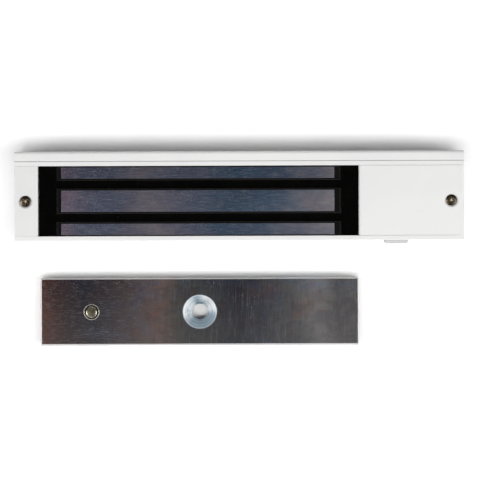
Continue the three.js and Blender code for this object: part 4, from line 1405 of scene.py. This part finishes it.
@dataclass
class Electromagnet:
    """The steel core, the insulation, the winding and the epoxy.

    Attributes:
        repeats: The trees for what repeats.
        core_edge: Rounding of the pole faces' edges.
        core_gap: How much narrower than the plain shape the core is, on either side.
        collar_edge: Rounding of the liners' edges.
        meniscus: How far the epoxy climbs its walls.
        reach: How far from a wall the climb is felt.
        pour: Depth of the last pour, which has its own shell.
        wire: Radius of the winding's wire.
        build_up: Thickness of the winding, to either side.
        corner: Radius of the winding's inner corners.
    """

    repeats: Repeats
    core_edge: float = 0.24 * MM
    core_gap: float = 0.25 * MM
    collar_edge: float = 0.12 * MM
    meniscus: float = 0.32 * MM
    reach: float = 0.55 * MM
    pour: float = 0.6 * MM
    wire: float = 0.25 * MM
    build_up: float = 4.0 * MM
    corner: float = 3.0 * MM

    def build(self) -> None:
        """Builds every piece of the electromagnet."""
        low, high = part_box("magnet_core")

        def narrower(at: Vector) -> Vector:
            """A corner of the core, further from the channel's wall."""
            return moved(moved(at, "y", low.y, self.core_gap), "y", high.y, -self.core_gap)

        steel = PoleSteel(low.x, high.x, low.y, high.y)
        dressed("pole_core", ["magnet_core"], self.core_edge, steel, "ground_steel", reshape=narrower)
        for place in ("middle", "upper", "lower"):
            dressed(place + "_collar", [place + "_pole_liner"], self.collar_edge, Plastic.NYLON, "nylon")
        self.build_winding()
        self.build_epoxy()

    def build_winding(self) -> None:
        """The enamelled wire, turn by turn."""
        low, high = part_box("coil_winding")
        middle = centre((low, high))
        height = high.z - low.z
        turns = int(height / (2 * self.wire))
        made = self.repeats.winding.make(
            "copper_turns",
            Length=high.x - low.x - 2 * self.build_up,
            Width=high.y - low.y - 2 * self.build_up,
            Corner=self.corner,
            Wire=self.wire,
            Turns=turns,
            Foot=Vector((middle.x, middle.y, low.z + self.wire)),
            Finish=material(Plating.COPPER),
        )
        install(made, Body.LOCK, "copper", "coil_winding")

    def build_epoxy(self) -> None:
        """The cast block, and the last pour with its meniscus round the walls and the collars."""
        low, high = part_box("potting")
        block = softened("epoxy_block", ["potting"], 0)
        for vert in block.data.vertices:
            if vert.co.z > high.z - 0.1 * MM:
                vert.co.z -= self.pour
        blocks = []
        for place, reach in (("lower", -1), ("middle", 0), ("upper", 1)):
            a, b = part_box(place + "_pole_liner")
            y0 = low.y - 1 if reach < 0 else a.y - GLUE_GAP
            y1 = high.y + 1 if reach > 0 else b.y + GLUE_GAP
            blocks.append((a.x - GLUE_GAP, b.x + GLUE_GAP, y0, y1))
        skin = self.poured(low, high, blocks)
        made = joined("epoxy_potting", block, skin)
        install(painted(made, Plastic.EPOXY), Body.LOCK, "epoxy", "potting")

    def poured(self, low: Vector, high: Vector, blocks: Sequence[tuple[float, ...]]) -> bpy.types.Object:
        """The last pour.

        Args:
            low, high: The corners of the potting.
            blocks: What stands in it, as x0, x1, y0, y1.

        Returns:
            A closed slab whose top climbs its walls.
        """
        def gap(x: float, y: float) -> float:
            """The distance from a point to the nearest wall, below zero inside a block."""
            walls = [x - low.x, high.x - x, y - low.y, high.y - y]
            for x0, x1, y0, y1 in blocks:
                out_x, out_y = max(x0 - x, x - x1), max(y0 - y, y - y1)
                furthest = max(out_x, out_y)
                walls.append(math.hypot(max(out_x, 0), max(out_y, 0)) if furthest > 0 else furthest)
            return min(walls)

        def top(x: float, y: float) -> float:
            """The height of the surface."""
            ripple = noise.noise(Vector((x * 90, y * 160, 0))) * 0.05 * MM
            return high.z + ripple + self.meniscus * math.exp(-max(gap(x, y), 0) / self.reach)

        xs = self.graded([low.x, *(v for b in blocks[:1] for v in b[:2]), high.x], 4 * MM)
        ys = self.graded([low.y, blocks[0][3], blocks[1][2], blocks[1][3], blocks[2][2], high.y], 3 * MM)
        bm = bmesh.new()
        tops: dict[tuple[int, int], tuple[bmesh.types.BMVert, bmesh.types.BMVert]] = {}

        def corner(i: int, j: int) -> tuple[bmesh.types.BMVert, bmesh.types.BMVert]:
            """The upper and lower vertex of a grid corner."""
            if (i, j) not in tops:
                x, y = xs[i], ys[j]
                tops[i, j] = (bm.verts.new((x, y, top(x, y))), bm.verts.new((x, y, high.z - self.pour)))
            return tops[i, j]

        def filled(i: int, j: int) -> bool:
            """Whether a grid cell holds epoxy."""
            inside = 0 <= i < len(xs) - 1 and 0 <= j < len(ys) - 1
            return inside and gap((xs[i] + xs[i + 1]) / 2, (ys[j] + ys[j + 1]) / 2) > 0

        for i in range(len(xs) - 1):
            for j in range(len(ys) - 1):
                if not filled(i, j):
                    continue
                ring = [corner(i, j), corner(i + 1, j), corner(i + 1, j + 1), corner(i, j + 1)]
                bm.faces.new([up for up, _ in ring])
                bm.faces.new([down for _, down in reversed(ring)])
                for k, (di, dj) in enumerate(((0, -1), (1, 0), (0, 1), (-1, 0))):
                    if not filled(i + di, j + dj):
                        (a, a_low), (b, b_low) = ring[k], ring[(k + 1) % 4]
                        bm.faces.new((a, a_low, b_low, b))
        bmesh.ops.recalc_face_normals(bm, faces=bm.faces)
        return from_bmesh("last_pour", bm)

    @staticmethod
    def graded(stops: Sequence[float], coarse: float) -> list[float]:
        """Grid lines at the stops, close together next to each one and coarse between them."""
        near = [0.12 * MM, 0.3 * MM, 0.55 * MM, 0.95 * MM, 1.5 * MM]
        lines = {stops[0], stops[-1]}
        for a, b in zip(stops, stops[1:]):
            width = b - a
            lines |= {a, b}
            lines |= {a + n for n in near if n < width / 2} | {b - n for n in near if n < width / 2}
            if width > 2 * near[-1] + coarse:
                count = round((width - 2 * near[-1]) / coarse)
                lines |= {a + near[-1] + (width - 2 * near[-1]) * k / count for k in range(1, count)}
        return sorted(lines)


@dataclass
class WiringRoom:
    """The circuit board, what stands on it, the leads and the status light.

    Attributes:
        repeats: The trees for what repeats.
        ways: Ways of the terminal block.
        lead: Radius of a coil lead.
        track: Width of a copper track.
        track_height: Height of a track over the board.
        disc_foot: How far the disc's legs are from its middle at the board.
        light_foot: How far the light's legs are from its middle.
        back_gap: How far the light's legs are from the back of its box.
        board_screw: The board's screws.
        board_cross: Their recess.
        clamp_screw: The terminal block's screws.
        cage: Half the width of a clamp's cage.
        cage_wall: Thickness of the cage.
        chips: Places of the surface resistors along the board.
    """

    repeats: Repeats
    ways: int = 6
    lead: float = 0.8 * MM
    track: float = 0.7 * MM
    track_height: float = 0.05 * MM
    disc_foot: float = 1.9 * MM
    light_foot: float = 1.27 * MM
    back_gap: float = 0.25 * MM
    board_screw: Fastener = Fastener(2.1 * MM, 0, 0.85 * MM, 0.55 * MM, 1.1 * MM, 4.6 * MM, 0.45 * MM)
    board_cross: Cross = Cross(1.2 * MM, 0.42 * MM, 0.85 * MM, 0.3, 0.1 * MM)
    clamp_screw: Fastener = Fastener(1.7 * MM, 0, 0.9 * MM, 0.12 * MM, 1.2 * MM, 1.8 * MM, 0.5 * MM)
    cage: float = 1.35 * MM
    cage_wall: float = 0.3 * MM
    chips: tuple[float, ...] = (0.42, 0.5, 0.58)

    def build(self) -> None:
        """Builds every piece of the wiring compartment."""
        dressed("status_window", ["status_lens"], 0.25 * MM, Frosted(), "frosted", segments=3)
        dressed("green_board", ["circuit_board"], 0.08 * MM, SolderMask(), "board_green", segments=1)
        self.build_tracks()
        self.build_fixings()
        self.build_terminals()
        self.build_parts()
        self.build_light()
        self.build_leads()
        self.build_joints()

    def board_top(self) -> float:
        """The height of the board's upper face."""
        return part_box("circuit_board")[1].z

    def pitch(self) -> Vector:
        """From one way of the terminal block to the next."""
        low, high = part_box("terminal_block")
        return Vector(((high.x - low.x) / self.ways, 0, 0))

    def build_tracks(self) -> None:
        """The copper tracks under the mask, as low flat strips with mitred turns."""
        low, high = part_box("circuit_board")
        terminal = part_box("terminal_block")
        parts = ("status_relay", "surge_disc", "status_led", "voltage_jumper")
        relay, disc, light, jumper = (middle_of(node) for node in parts)
        pitch = (terminal[1].x - terminal[0].x) / self.ways
        row = terminal[0].y - 0.8 * MM
        ends = [
            (disc.x + self.disc_foot, disc.y),
            (light.x - 1.3 * MM, light.y + 4.6 * MM),
            (light.x + 1.3 * MM, light.y + 4.6 * MM),
            (jumper.x - 6.4 * MM, jumper.y),
            (relay.x + 1 * MM, relay.y + 4.6 * MM),
            (jumper.x, jumper.y + 2.2 * MM),
        ]
        strips = []
        for way, (x, y) in enumerate(ends):
            x0 = terminal[0].x + (way + 0.5) * pitch
            drop = row - 1.2 * MM - (way % 3) * 1.1 * MM
            slant = min(abs(x - x0), drop - y - 0.5 * MM)
            turn = (x0, drop), (x0 + math.copysign(slant, x - x0), drop - slant)
            strips.append([(x0, row), *turn, (x, drop - slant), (x, y)])
        left, back = low.x + 2 * MM, high.y - 3 * MM
        strips.append([(left, low.y + 7.5 * MM), (left, back), (high.x - 8 * MM, back)])
        bm = bmesh.new()
        top = self.board_top()
        for path in strips:
            self.strip(bm, [Vector((x, y, top)) for x, y in path])
        bmesh.ops.recalc_face_normals(bm, faces=bm.faces)
        made = shaded(from_bmesh("board_tracks", bm))
        mask = SolderMask("masked_copper", tone(44, 124, 70), tone(36, 110, 62))
        install(painted(made, mask), Body.LOCK, "board_green")

    def strip(self, bm: bmesh.types.BMesh, path: Sequence[Vector]) -> None:
        """Adds a flat closed strip along a path of distinct points."""
        line = [p for i, p in enumerate(path) if i == 0 or (p - path[i - 1]).length > NEAR]
        rows = []
        for i, at in enumerate(line):
            before = (at - line[i - 1]).normalized() if i else (line[1] - at).normalized()
            after = (line[i + 1] - at).normalized() if i < len(line) - 1 else before
            mitre = (before + after).normalized() if (before + after).length > 0.1 else before
            wide = self.track / 2 / max(0.5, mitre.dot(before))
            side = Vector((-mitre.y, mitre.x, 0)) * wide
            up = Vector((0, 0, self.track_height))
            slope = side * 0.86
            corners = (at - side, at + side, at + slope + up, at - slope + up)
            rows.append([bm.verts.new(corner) for corner in corners])
        for low, high in zip(rows, rows[1:]):
            for k in range(4):
                bm.faces.new((low[k], low[(k + 1) % 4], high[(k + 1) % 4], high[k]))
        bm.faces.new(rows[0])
        bm.faces.new(list(reversed(rows[-1])))

    def build_fixings(self) -> None:
        """The spacers and the board's screws."""
        nodes = ("board_screw_1", "board_screw_2")
        first, second = (middle_of(node) for node in nodes)
        screw = self.board_screw
        item = screw.make("board_screw", Way.UP, Vector(), self.board_cross.tool(screw.top))
        start = Vector((first.x, first.y, self.board_top() + 0.02 * MM))
        self.repeats.row_of("board_fixings", item, start, second - first, 2, Plating.NICKEL, *nodes)
        dressed("board_spacers", ["board_spacer_1", "board_spacer_2"], 0.15 * MM, Plating.BRASS, "brass")

    def build_terminals(self) -> None:
        """The terminal block, its clamps and its screws."""
        low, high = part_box("terminal_block")
        dressed("terminal_body", ["terminal_block"], 0.14 * MM, Plastic.TERMINAL, "terminal_green")
        pitch = self.pitch()
        first, screw = middle_of("terminal_screw_1"), self.clamp_screw
        levels = [(z, oblong(2 * MM, 0.28 * MM)) for z in (screw.top - 0.65 * MM, screw.top + CLEAR)]
        slot = prism("slot_tool", levels, Matrix.Rotation(0.6, 4, "Z"))
        item = screw.make("clamp_screw", Way.UP, Vector(), slot)
        start = Vector((first.x, first.y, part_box("terminal_screw_1")[1].z - screw.top))
        names = [f"terminal_screw_{n + 1}" for n in range(self.ways)]
        self.repeats.row_of("clamp_screws", item, start, pitch, self.ways, Plating.STEEL, *names)
        half, mouth = self.cage, self.cage - self.cage_wall
        cage = prism("cage", [(y, oblong(half, half)) for y in (0, 2.2 * MM)], Way.FRONT.value)
        hollow = prism("cage_tool", [(y, oblong(mouth, mouth)) for y in (-CLEAR, 1.6 * MM)], Way.FRONT.value)
        place = Vector((first.x, high.y - 0.35 * MM, low.z + 2.5 * MM))
        self.repeats.row_of("clamp_cages", carved(cage, hollow), place, pitch, self.ways, Plating.STEEL)

    def build_parts(self) -> None:
        """The relay, the surge disc, the jumper and the small surface parts."""
        dressed("relay_case", ["status_relay"], 0.35 * MM, Plastic.BLACK, "relay_black", segments=3)
        dressed("voltage_jumper_cap", ["voltage_jumper"], 0.15 * MM, Plastic.BLACK, "relay_black")
        low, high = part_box("surge_disc")
        middle = centre((low, high))
        radius, half = (high.x - low.x) / 2, (high.y - low.y) / 2
        hub = Vector((middle.x, middle.y, high.z - radius))
        flat, shoulder, lean = radius * 0.72, radius * 0.94, half * 0.72
        profile = [(0, -half, 0), (flat, -half, 0), (shoulder, -lean, 0), (radius, 0, 0)]
        profile += [(shoulder, lean, 0), (flat, half, 0), (0, half, 0)]
        disc = painted(Lathe(56).turn("disc", rounded(profile), Way.BACK, hub), Plastic.DISC)
        legs = []
        for side in (-1, 1):
            x = middle.x + side * self.disc_foot
            top = Vector((middle.x + side * 1.2 * MM, middle.y, hub.z - radius * 0.6))
            points = [top, Vector((x, middle.y, low.z + 1.4 * MM)), Vector((x, middle.y, low.z))]
            legs.append(painted(wire("leg", points, 0.38 * MM, 12), Plating.TIN))
        install(joined("surge_disc_part", disc, *legs), Body.LOCK, "disc_blue", "surge_disc")
        chips = []
        low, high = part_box("circuit_board")
        for share in self.chips:
            x, y = low.x + (high.x - low.x) * share, low.y + (high.y - low.y) * self.chips[0]
            chips += self.chip(Vector((x, y, high.z)))
        install(joined("surface_resistors", *chips), Body.LOCK, "relay_black")

    def chip(self, at: Vector) -> list[bpy.types.Object]:
        """A surface resistor with its two tinned ends."""
        def block(name: str, y0: float, y1: float, wide: float, tall: float) -> bpy.types.Object:
            """A bevelled block across the board."""
            e = 0.06 * MM
            base = [(-wide, y0), (wide, y0), (wide, y1), (-wide, y1)]
            lid = [(-wide + e, y0 + e), (wide - e, y0 + e), (wide - e, y1 - e), (-wide + e, y1 - e)]
            return prism(name, [(0, base), (tall - e, base), (tall, lid)], Matrix.Translation(at))

        pieces = [painted(block("chip", -1.15 * MM, 1.15 * MM, 0.8 * MM, 0.5 * MM), Plastic.RESISTOR)]
        for y in (-1.4 * MM, 1.4 * MM):
            end = block("chip_end", y - 0.25 * MM, y + 0.25 * MM, 0.83 * MM, 0.56 * MM)
            pieces.append(painted(end, Plating.TIN))
        return pieces

    def build_light(self) -> None:
        """The status light behind its window."""
        low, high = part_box("status_led")
        middle_x = (low.x + high.x) / 2
        height = middle_of("status_lens").z
        r, dome = 2.5 * MM, 6 * MM
        base = low.y + dome + r
        skirt = 2.9 * MM
        profile = [(0, 0, 0), (skirt, 0, 0.1 * MM), (skirt, 1 * MM, 0.12 * MM), (r, 1.05 * MM, 0.1 * MM)]
        angles = [k * math.pi / 16 for k in range(1, 8)]
        profile += [(r, dome, 0), *((r * math.cos(a), dome + r * math.sin(a), 0) for a in angles)]
        profile.append((0, dome + r, 0))
        bulb = Lathe(48).turn("bulb", rounded(profile), Way.FRONT, Vector((middle_x, base, height)))
        painted(bulb, Frosted("light_resin", tone(226, 228, 226), tone(214, 218, 214)))
        legs = []
        for side in (-self.light_foot, self.light_foot):
            x, back = middle_x + side, high.y - self.back_gap
            bends = ((base - 0.3 * MM, height), (back - 0.5 * MM, height))
            bends += ((back, height - 0.6 * MM), (back, low.z))
            leg = wire("light_leg", [Vector((x, y, z)) for y, z in bends], 0.25 * MM, 10)
            legs.append(painted(leg, Plating.TIN))
        install(joined("status_light", bulb, *legs), Body.LOCK, "frosted", "status_led")

    def build_leads(self) -> None:
        """The two coil leads, from the winding up over the board's edge."""
        top, dam = self.board_top(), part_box("right_dam")[1].x
        height = middle_of("coil_winding").z
        for name, finish in (("red", Plastic.RED_WIRE), ("black", Plastic.BLACK_WIRE)):
            low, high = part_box(name + "_coil_lead")
            end = high.x - self.lead
            start_y, pad_y = high.y - self.lead, low.y + self.lead
            points = [
                Vector((low.x, start_y, height)),
                Vector((dam - 2 * MM, start_y, height)),
                Vector((dam + 0.4 * MM, start_y, height)),
                Vector((end - 1.6 * MM, pad_y, height + 0.2 * MM)),
                Vector((end - 0.2 * MM, pad_y, height - 1.6 * MM)),
                Vector((end, pad_y, top + 0.2 * MM)),
            ]
            made = painted(wire(name + "_lead", points, self.lead, 20), finish)
            install(made, Body.LOCK, name + "_wire", name + "_coil_lead")

    def build_joints(self) -> None:
        """Solder joints at the feet of the parts, in rows."""
        top = self.board_top()
        low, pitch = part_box("terminal_block")[0], self.pitch()
        disc, light = middle_of("surge_disc"), middle_of("status_led")
        leads = [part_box(name + "_coil_lead") for name in ("red", "black")]
        pads = [Vector((b[1].x - self.lead, b[0].y + self.lead, top)) for b in leads]
        disc_foot = Vector((disc.x - self.disc_foot, disc.y, top))
        light_foot = Vector((light.x - self.light_foot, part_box("status_led")[1].y - self.back_gap, top))
        rows = {
            "terminal_joints": (Vector((low.x + pitch.x / 2, low.y - 0.9 * MM, top)), pitch, self.ways),
            "disc_joints": (disc_foot, Vector((2 * self.disc_foot, 0, 0)), 2),
            "light_joints": (light_foot, Vector((2 * self.light_foot, 0, 0)), 2),
            "lead_joints": (pads[0], pads[1] - pads[0], 2),
        }
        for name, (start, step, count) in rows.items():
            r = (1.25 if name == "lead_joints" else 0.8) * MM
            profile = [(0, 0, 0), (r, 0, 0), (r, 0.05 * MM, 0), (0.45 * r, 0.28 * MM, 0.2 * MM)]
            profile += [(0.26 * r, 0.75 * MM, 0.1 * MM), (0, 0.82 * MM, 0)]
            cone = Lathe(20).turn("joint", rounded(profile), Way.UP, Vector())
            self.repeats.row_of(name, cone, start, step, count, Plating.TIN)


@dataclass
class ArmatureSet:
    """The armature plate with its release button, sleeve and spring.

    Attributes:
        repeats: The trees for what repeats.
        edge: Rounding of the plate's edges.
        chamfer: The plain plate's chamfer.
        narrow_chamfer: The chamfer that three of its upper edges get; the front one keeps the plain one.
        sink_rim: Radius of the countersink's rim.
        plain: Closer than this to the bolt hole's axis, the plate keeps its plain shape.
        pocket_rim: How far from the button's axis the plate's edges get neither rubbed wear nor painted
            reflection.
        sleeve_radius: Outer radius of the sleeve.
        mouth: Radius of the sleeve's mouth.
        bore: Radius inside the sleeve.
        stem: Radius of the button's stem.
        flange: Radius of the button's flange.
        wire: Radius of the spring's wire.
        coil: Radius of the spring's coil.
        turns: Turns of the spring.
        press: How far the button goes down.
    """

    repeats: Repeats
    edge: float = 0.1 * MM
    chamfer: float = 1.0 * MM
    narrow_chamfer: float = 0.55 * MM
    sink_rim: float = 9.75 * MM
    plain: float = 12 * MM
    pocket_rim: float = 8 * MM
    sleeve_radius: float = 4.6 * MM
    mouth: float = 3.5 * MM
    bore: float = 3.9 * MM
    stem: float = 3.25 * MM
    flange: float = 3.7 * MM
    wire: float = 0.24 * MM
    coil: float = 3.1 * MM
    turns: float = 4.5
    # press: How far the button goes down; not used.
    press: float = 1.6 * MM

    def build(self) -> None:
        """Builds the plate and its button."""
        self.build_plate()
        self.build_sleeve()
        self.build_button()
        self.build_spring()

    def build_plate(self) -> None:
        """The plate, with its countersink in turned zinc and its painted highlights."""
        low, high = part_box("armature_plate")
        middle = centre((low, high))
        trim = self.chamfer - self.narrow_chamfer

        def crisper(at: Vector) -> Vector:
            """A corner of the plate, with its upper chamfer made narrower."""
            out = at.copy()
            if at.z > high.z - NEAR:
                for axis, side, sign in (("x", low, -1), ("x", high, 1), ("y", high, 1)):
                    if abs(getattr(at, axis) - getattr(side, axis) + sign * self.chamfer) < NEAR:
                        setattr(out, axis, getattr(at, axis) + sign * trim)
            elif at.z > high.z - self.chamfer - NEAR and at.y > low.y + NEAR:
                out.z += trim if away_from(middle, at) > self.plain else 0
            return out

        pocket = middle_of("button_sleeve")

        def at_pocket(at: Vector) -> bool:
            """Whether a corner is on the rim of the button's pocket."""
            return away_from(pocket, at) < self.sleeve_radius + 0.6 * MM

        plate = softened("armature_bar", ["armature_plate"], self.edge, reshape=crisper, spared=at_pocket)
        sink = TurnedZinc((middle.x, middle.y), self.sink_rim)
        painted(plate, ClearZinc(low.x, high.x, low.y, high.y), sink)
        # The edge mark: painted reflection on the chamfers (1.0) and the sides (0.7), rubbed wear kept on the
        # roundings, nothing round the button's pocket.
        rubbed = plate.data.attributes["edge"].data
        for face in plate.data.polygons:
            reach, upward = away_from(middle, face.center), face.normal.z
            tilted = 0.3 < upward < 0.97
            if reach < self.sink_rim + NEAR and tilted:
                face.material_index = 1
            elif away_from(pocket, face.center) < self.pocket_rim:
                rubbed[face.index].value = 0.0
            elif tilted:
                rubbed[face.index].value = 1.0
            elif abs(upward) < 0.3 and reach > self.plain:
                rubbed[face.index].value = 0.7
        install(plate, Body.ARMATURE, "plated_steel", "armature_plate")

    def build_sleeve(self) -> None:
        """The pressed cup, with its rim rolled in, and painted shade in its mouth and along its outer edge.
        """
        low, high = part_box("button_sleeve")
        r, top, floor = self.sleeve_radius, high.z, low.z + 0.8 * MM
        shoulder = top - 1.3 * MM
        points = [(0, low.z, 0), (r, low.z, 0.4 * MM), (r, top, 0.3 * MM)]
        points.append((self.mouth + 0.56 * MM, top, 0.22 * MM))
        points.append((self.mouth + 0.16 * MM, top - 0.6 * MM, 0.1 * MM))
        points += [(self.mouth, top - 0.8 * MM, 0), (self.mouth, shoulder, 0), (self.bore, shoulder, 0)]
        points += [(self.bore, floor, 0.3 * MM), (0, floor, 0)]
        middle = centre((low, high))
        cup = Lathe(72).turn("sleeve_cup", rounded(points), Way.UP, Vector((middle.x, middle.y, 0)))
        # Painted shade: the mouth, the inside and the outer edge of the cup take the dark nickel; the rolled
        # rim keeps the satin nickel.
        painted(cup, Plating.SATIN_NICKEL, Plating.DARK_NICKEL)
        for face in cup.data.polygons:
            reach = away_from(middle, face.center)
            face.material_index = int(not self.mouth + 0.42 * MM < reach < r - 0.06 * MM)
        install(cup, Body.ARMATURE, "nickel", "button_sleeve")

    def build_button(self) -> None:
        """The button, with a low crown and the spigot that centres its spring."""
        low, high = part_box("release_button")
        under, top = low.z + 1.4 * MM, high.z
        flange_top = under + 1.1 * MM
        spigot, crown = 1.3 * MM, self.stem - 0.45 * MM
        points = [(0, low.z, 0), (spigot, low.z, 0.3 * MM), (spigot, under, 0)]
        points += [(self.flange, under, 0.15 * MM), (self.flange, flange_top, 0.1 * MM)]
        points.append((self.stem, flange_top, 0))
        points += [(self.stem, top - 0.75 * MM, 0.3 * MM), (crown, top - 0.22 * MM, 0.4 * MM)]
        points += [(1.4 * MM, top - 0.03 * MM, 0.9 * MM), (0, top, 0)]
        middle = centre((low, high))
        made = Lathe(72).turn("button_plunger", rounded(points, 4), Way.UP, Vector((middle.x, middle.y, 0)))
        install(painted(made, Plating.KHAKI_NICKEL), Body.BUTTON, "nickel", "release_button")

    def build_spring(self) -> None:
        """The spring under the button."""
        low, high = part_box("button_spring")
        middle = centre((low, high))
        height = high.z - low.z - 2 * self.wire
        spring = self.repeats.spring.make(
            "plunger_spring",
            Radius=self.coil,
            Turns=self.turns,
            Height=height,
            Wire=self.wire,
            Foot=Vector((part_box("button_sleeve")[0].x + self.sleeve_radius, middle.y, low.z + self.wire)),
            Finish=material(Plating.STEEL),
        )
        install(spring, Body.ARMATURE, "nickel", "button_spring")
        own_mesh(spring)


# ---------------------------------------------------------------- studio


@dataclass
class Studio:
    """The table, the lights and the camera.

    Attributes:
        eye: Where the camera is; it looks straight down.
        lens: Its focal length in millimetres, on a 36 mm sensor.
        roll: Its small turn about its own axis, in degrees.
        zenith: Brightness of the room overhead.
        horizon: Brightness of the room at the horizon.
        behind: How bright the room is behind the object, next to its front.
    """

    eye: tuple[float, float, float] = (0.0004, 0.00495, 0.85)
    lens: float = 111.3
    roll: float = -0.2
    zenith: float = 0.17
    horizon: float = 1.0
    behind: float = 0.2

    def build(self) -> None:
        """Sets everything up."""
        self.set_table()
        self.set_room()
        self.set_softbox("overhead_softbox", (0.12, -0.65, 2.10), (2.0, 0.66), 34.0, False)
        self.set_softbox("right_softbox", (1.75, -0.38, 1.5), (0.9, 0.9), 19.5, True)
        self.set_softbox("left_softbox", (-1.75, -0.38, 1.5), (0.9, 0.9), 20.0, True)
        self.set_camera()

    def set_table(self) -> None:
        """The tabletop, which isn't part of the object."""
        bm = bmesh.new()
        bmesh.ops.create_grid(bm, x_segments=8, y_segments=8, size=6.0)
        table = painted(from_bmesh("table", bm), Tabletop())
        table.data.transform(Matrix.Translation((0, 0, -0.02 * MM)))

    def set_room(self) -> None:
        """A plain pale room, brighter at the horizon than overhead."""
        world = bpy.data.worlds.new("pale_room")
        bpy.context.scene.world = world
        world.use_nodes = True
        t = Tree(world.node_tree)
        t.tree.nodes.clear()
        ways = t.node("ShaderNodeTexCoord", out="Generated")
        up = t.node("ShaderNodeSeparateXYZ", None, {0: ways}, "Z")
        back = t.node("ShaderNodeSeparateXYZ", None, {0: ways}, "Y")
        smooth = {"interpolation_type": "SMOOTHSTEP"}
        height = {"Value": up, "From Min": 0.1, "From Max": 0.75}
        height |= {"To Min": self.horizon, "To Max": self.zenith}
        depth = {"Value": back, "From Min": -0.1, "From Max": 0.6, "To Min": 1.0, "To Max": self.behind}
        level = t.node("ShaderNodeMapRange", smooth, height) * t.node("ShaderNodeMapRange", smooth, depth)
        light = t.node("ShaderNodeBackground", None, {"Strength": level, "Color": (1, 1, 1, 1)})
        t.node("ShaderNodeOutputWorld", None, {"Surface": light})

    @staticmethod
    def set_softbox(
        name: str, place: Sequence[float], size: Sequence[float], power: float, mirrored: bool
    ) -> None:
        """A rectangular softbox that faces the object.

        Args:
            name: The light's name.
            place: Where it is.
            size: Its two sides.
            power: Its power in watts.
            mirrored: Whether shiny surfaces show it.
        """
        light = bpy.data.lights.new(name, "AREA")
        light.shape = "RECTANGLE"
        light.size, light.size_y = size
        light.energy = power
        lamp = new_object(name, light)
        lamp.location = place
        lamp.rotation_euler = (-Vector(place)).to_track_quat("-Z", "Y").to_euler()
        lamp.visible_glossy = mirrored

    def set_camera(self) -> None:
        """The camera over the table."""
        camera = bpy.data.cameras.new("camera")
        camera.lens = self.lens
        camera.sensor_width = 36
        eye = new_object("camera", camera)
        eye.location = self.eye
        eye.rotation_euler = (0, 0, math.radians(self.roll))
        bpy.context.scene.camera = eye


def main() -> None:
    """Builds the lock, the armature set and the studio in order."""
    logging.basicConfig(level=logging.INFO, format="%(name)s: %(message)s")
    bpy.context.scene.view_settings.view_transform = "Standard"
    repeats = Repeats()
    Casing(repeats).build()
    # The wiring cover takes the lighter copy of the coat as painted light.
    Cover("wiring_cover", Body.WIRING_COVER, lip=-0.32 * MM, paint=WHITE_PAINTED_LIGHTER).build()
    Cover("end_cover", Body.END_COVER, closing=0.15 * MM, lip=-0.2 * MM).build()
    Electromagnet(repeats).build()
    WiringRoom(repeats).build()
    ArmatureSet(repeats).build()
    Studio().build()


if __name__ == "__main__":
    main()
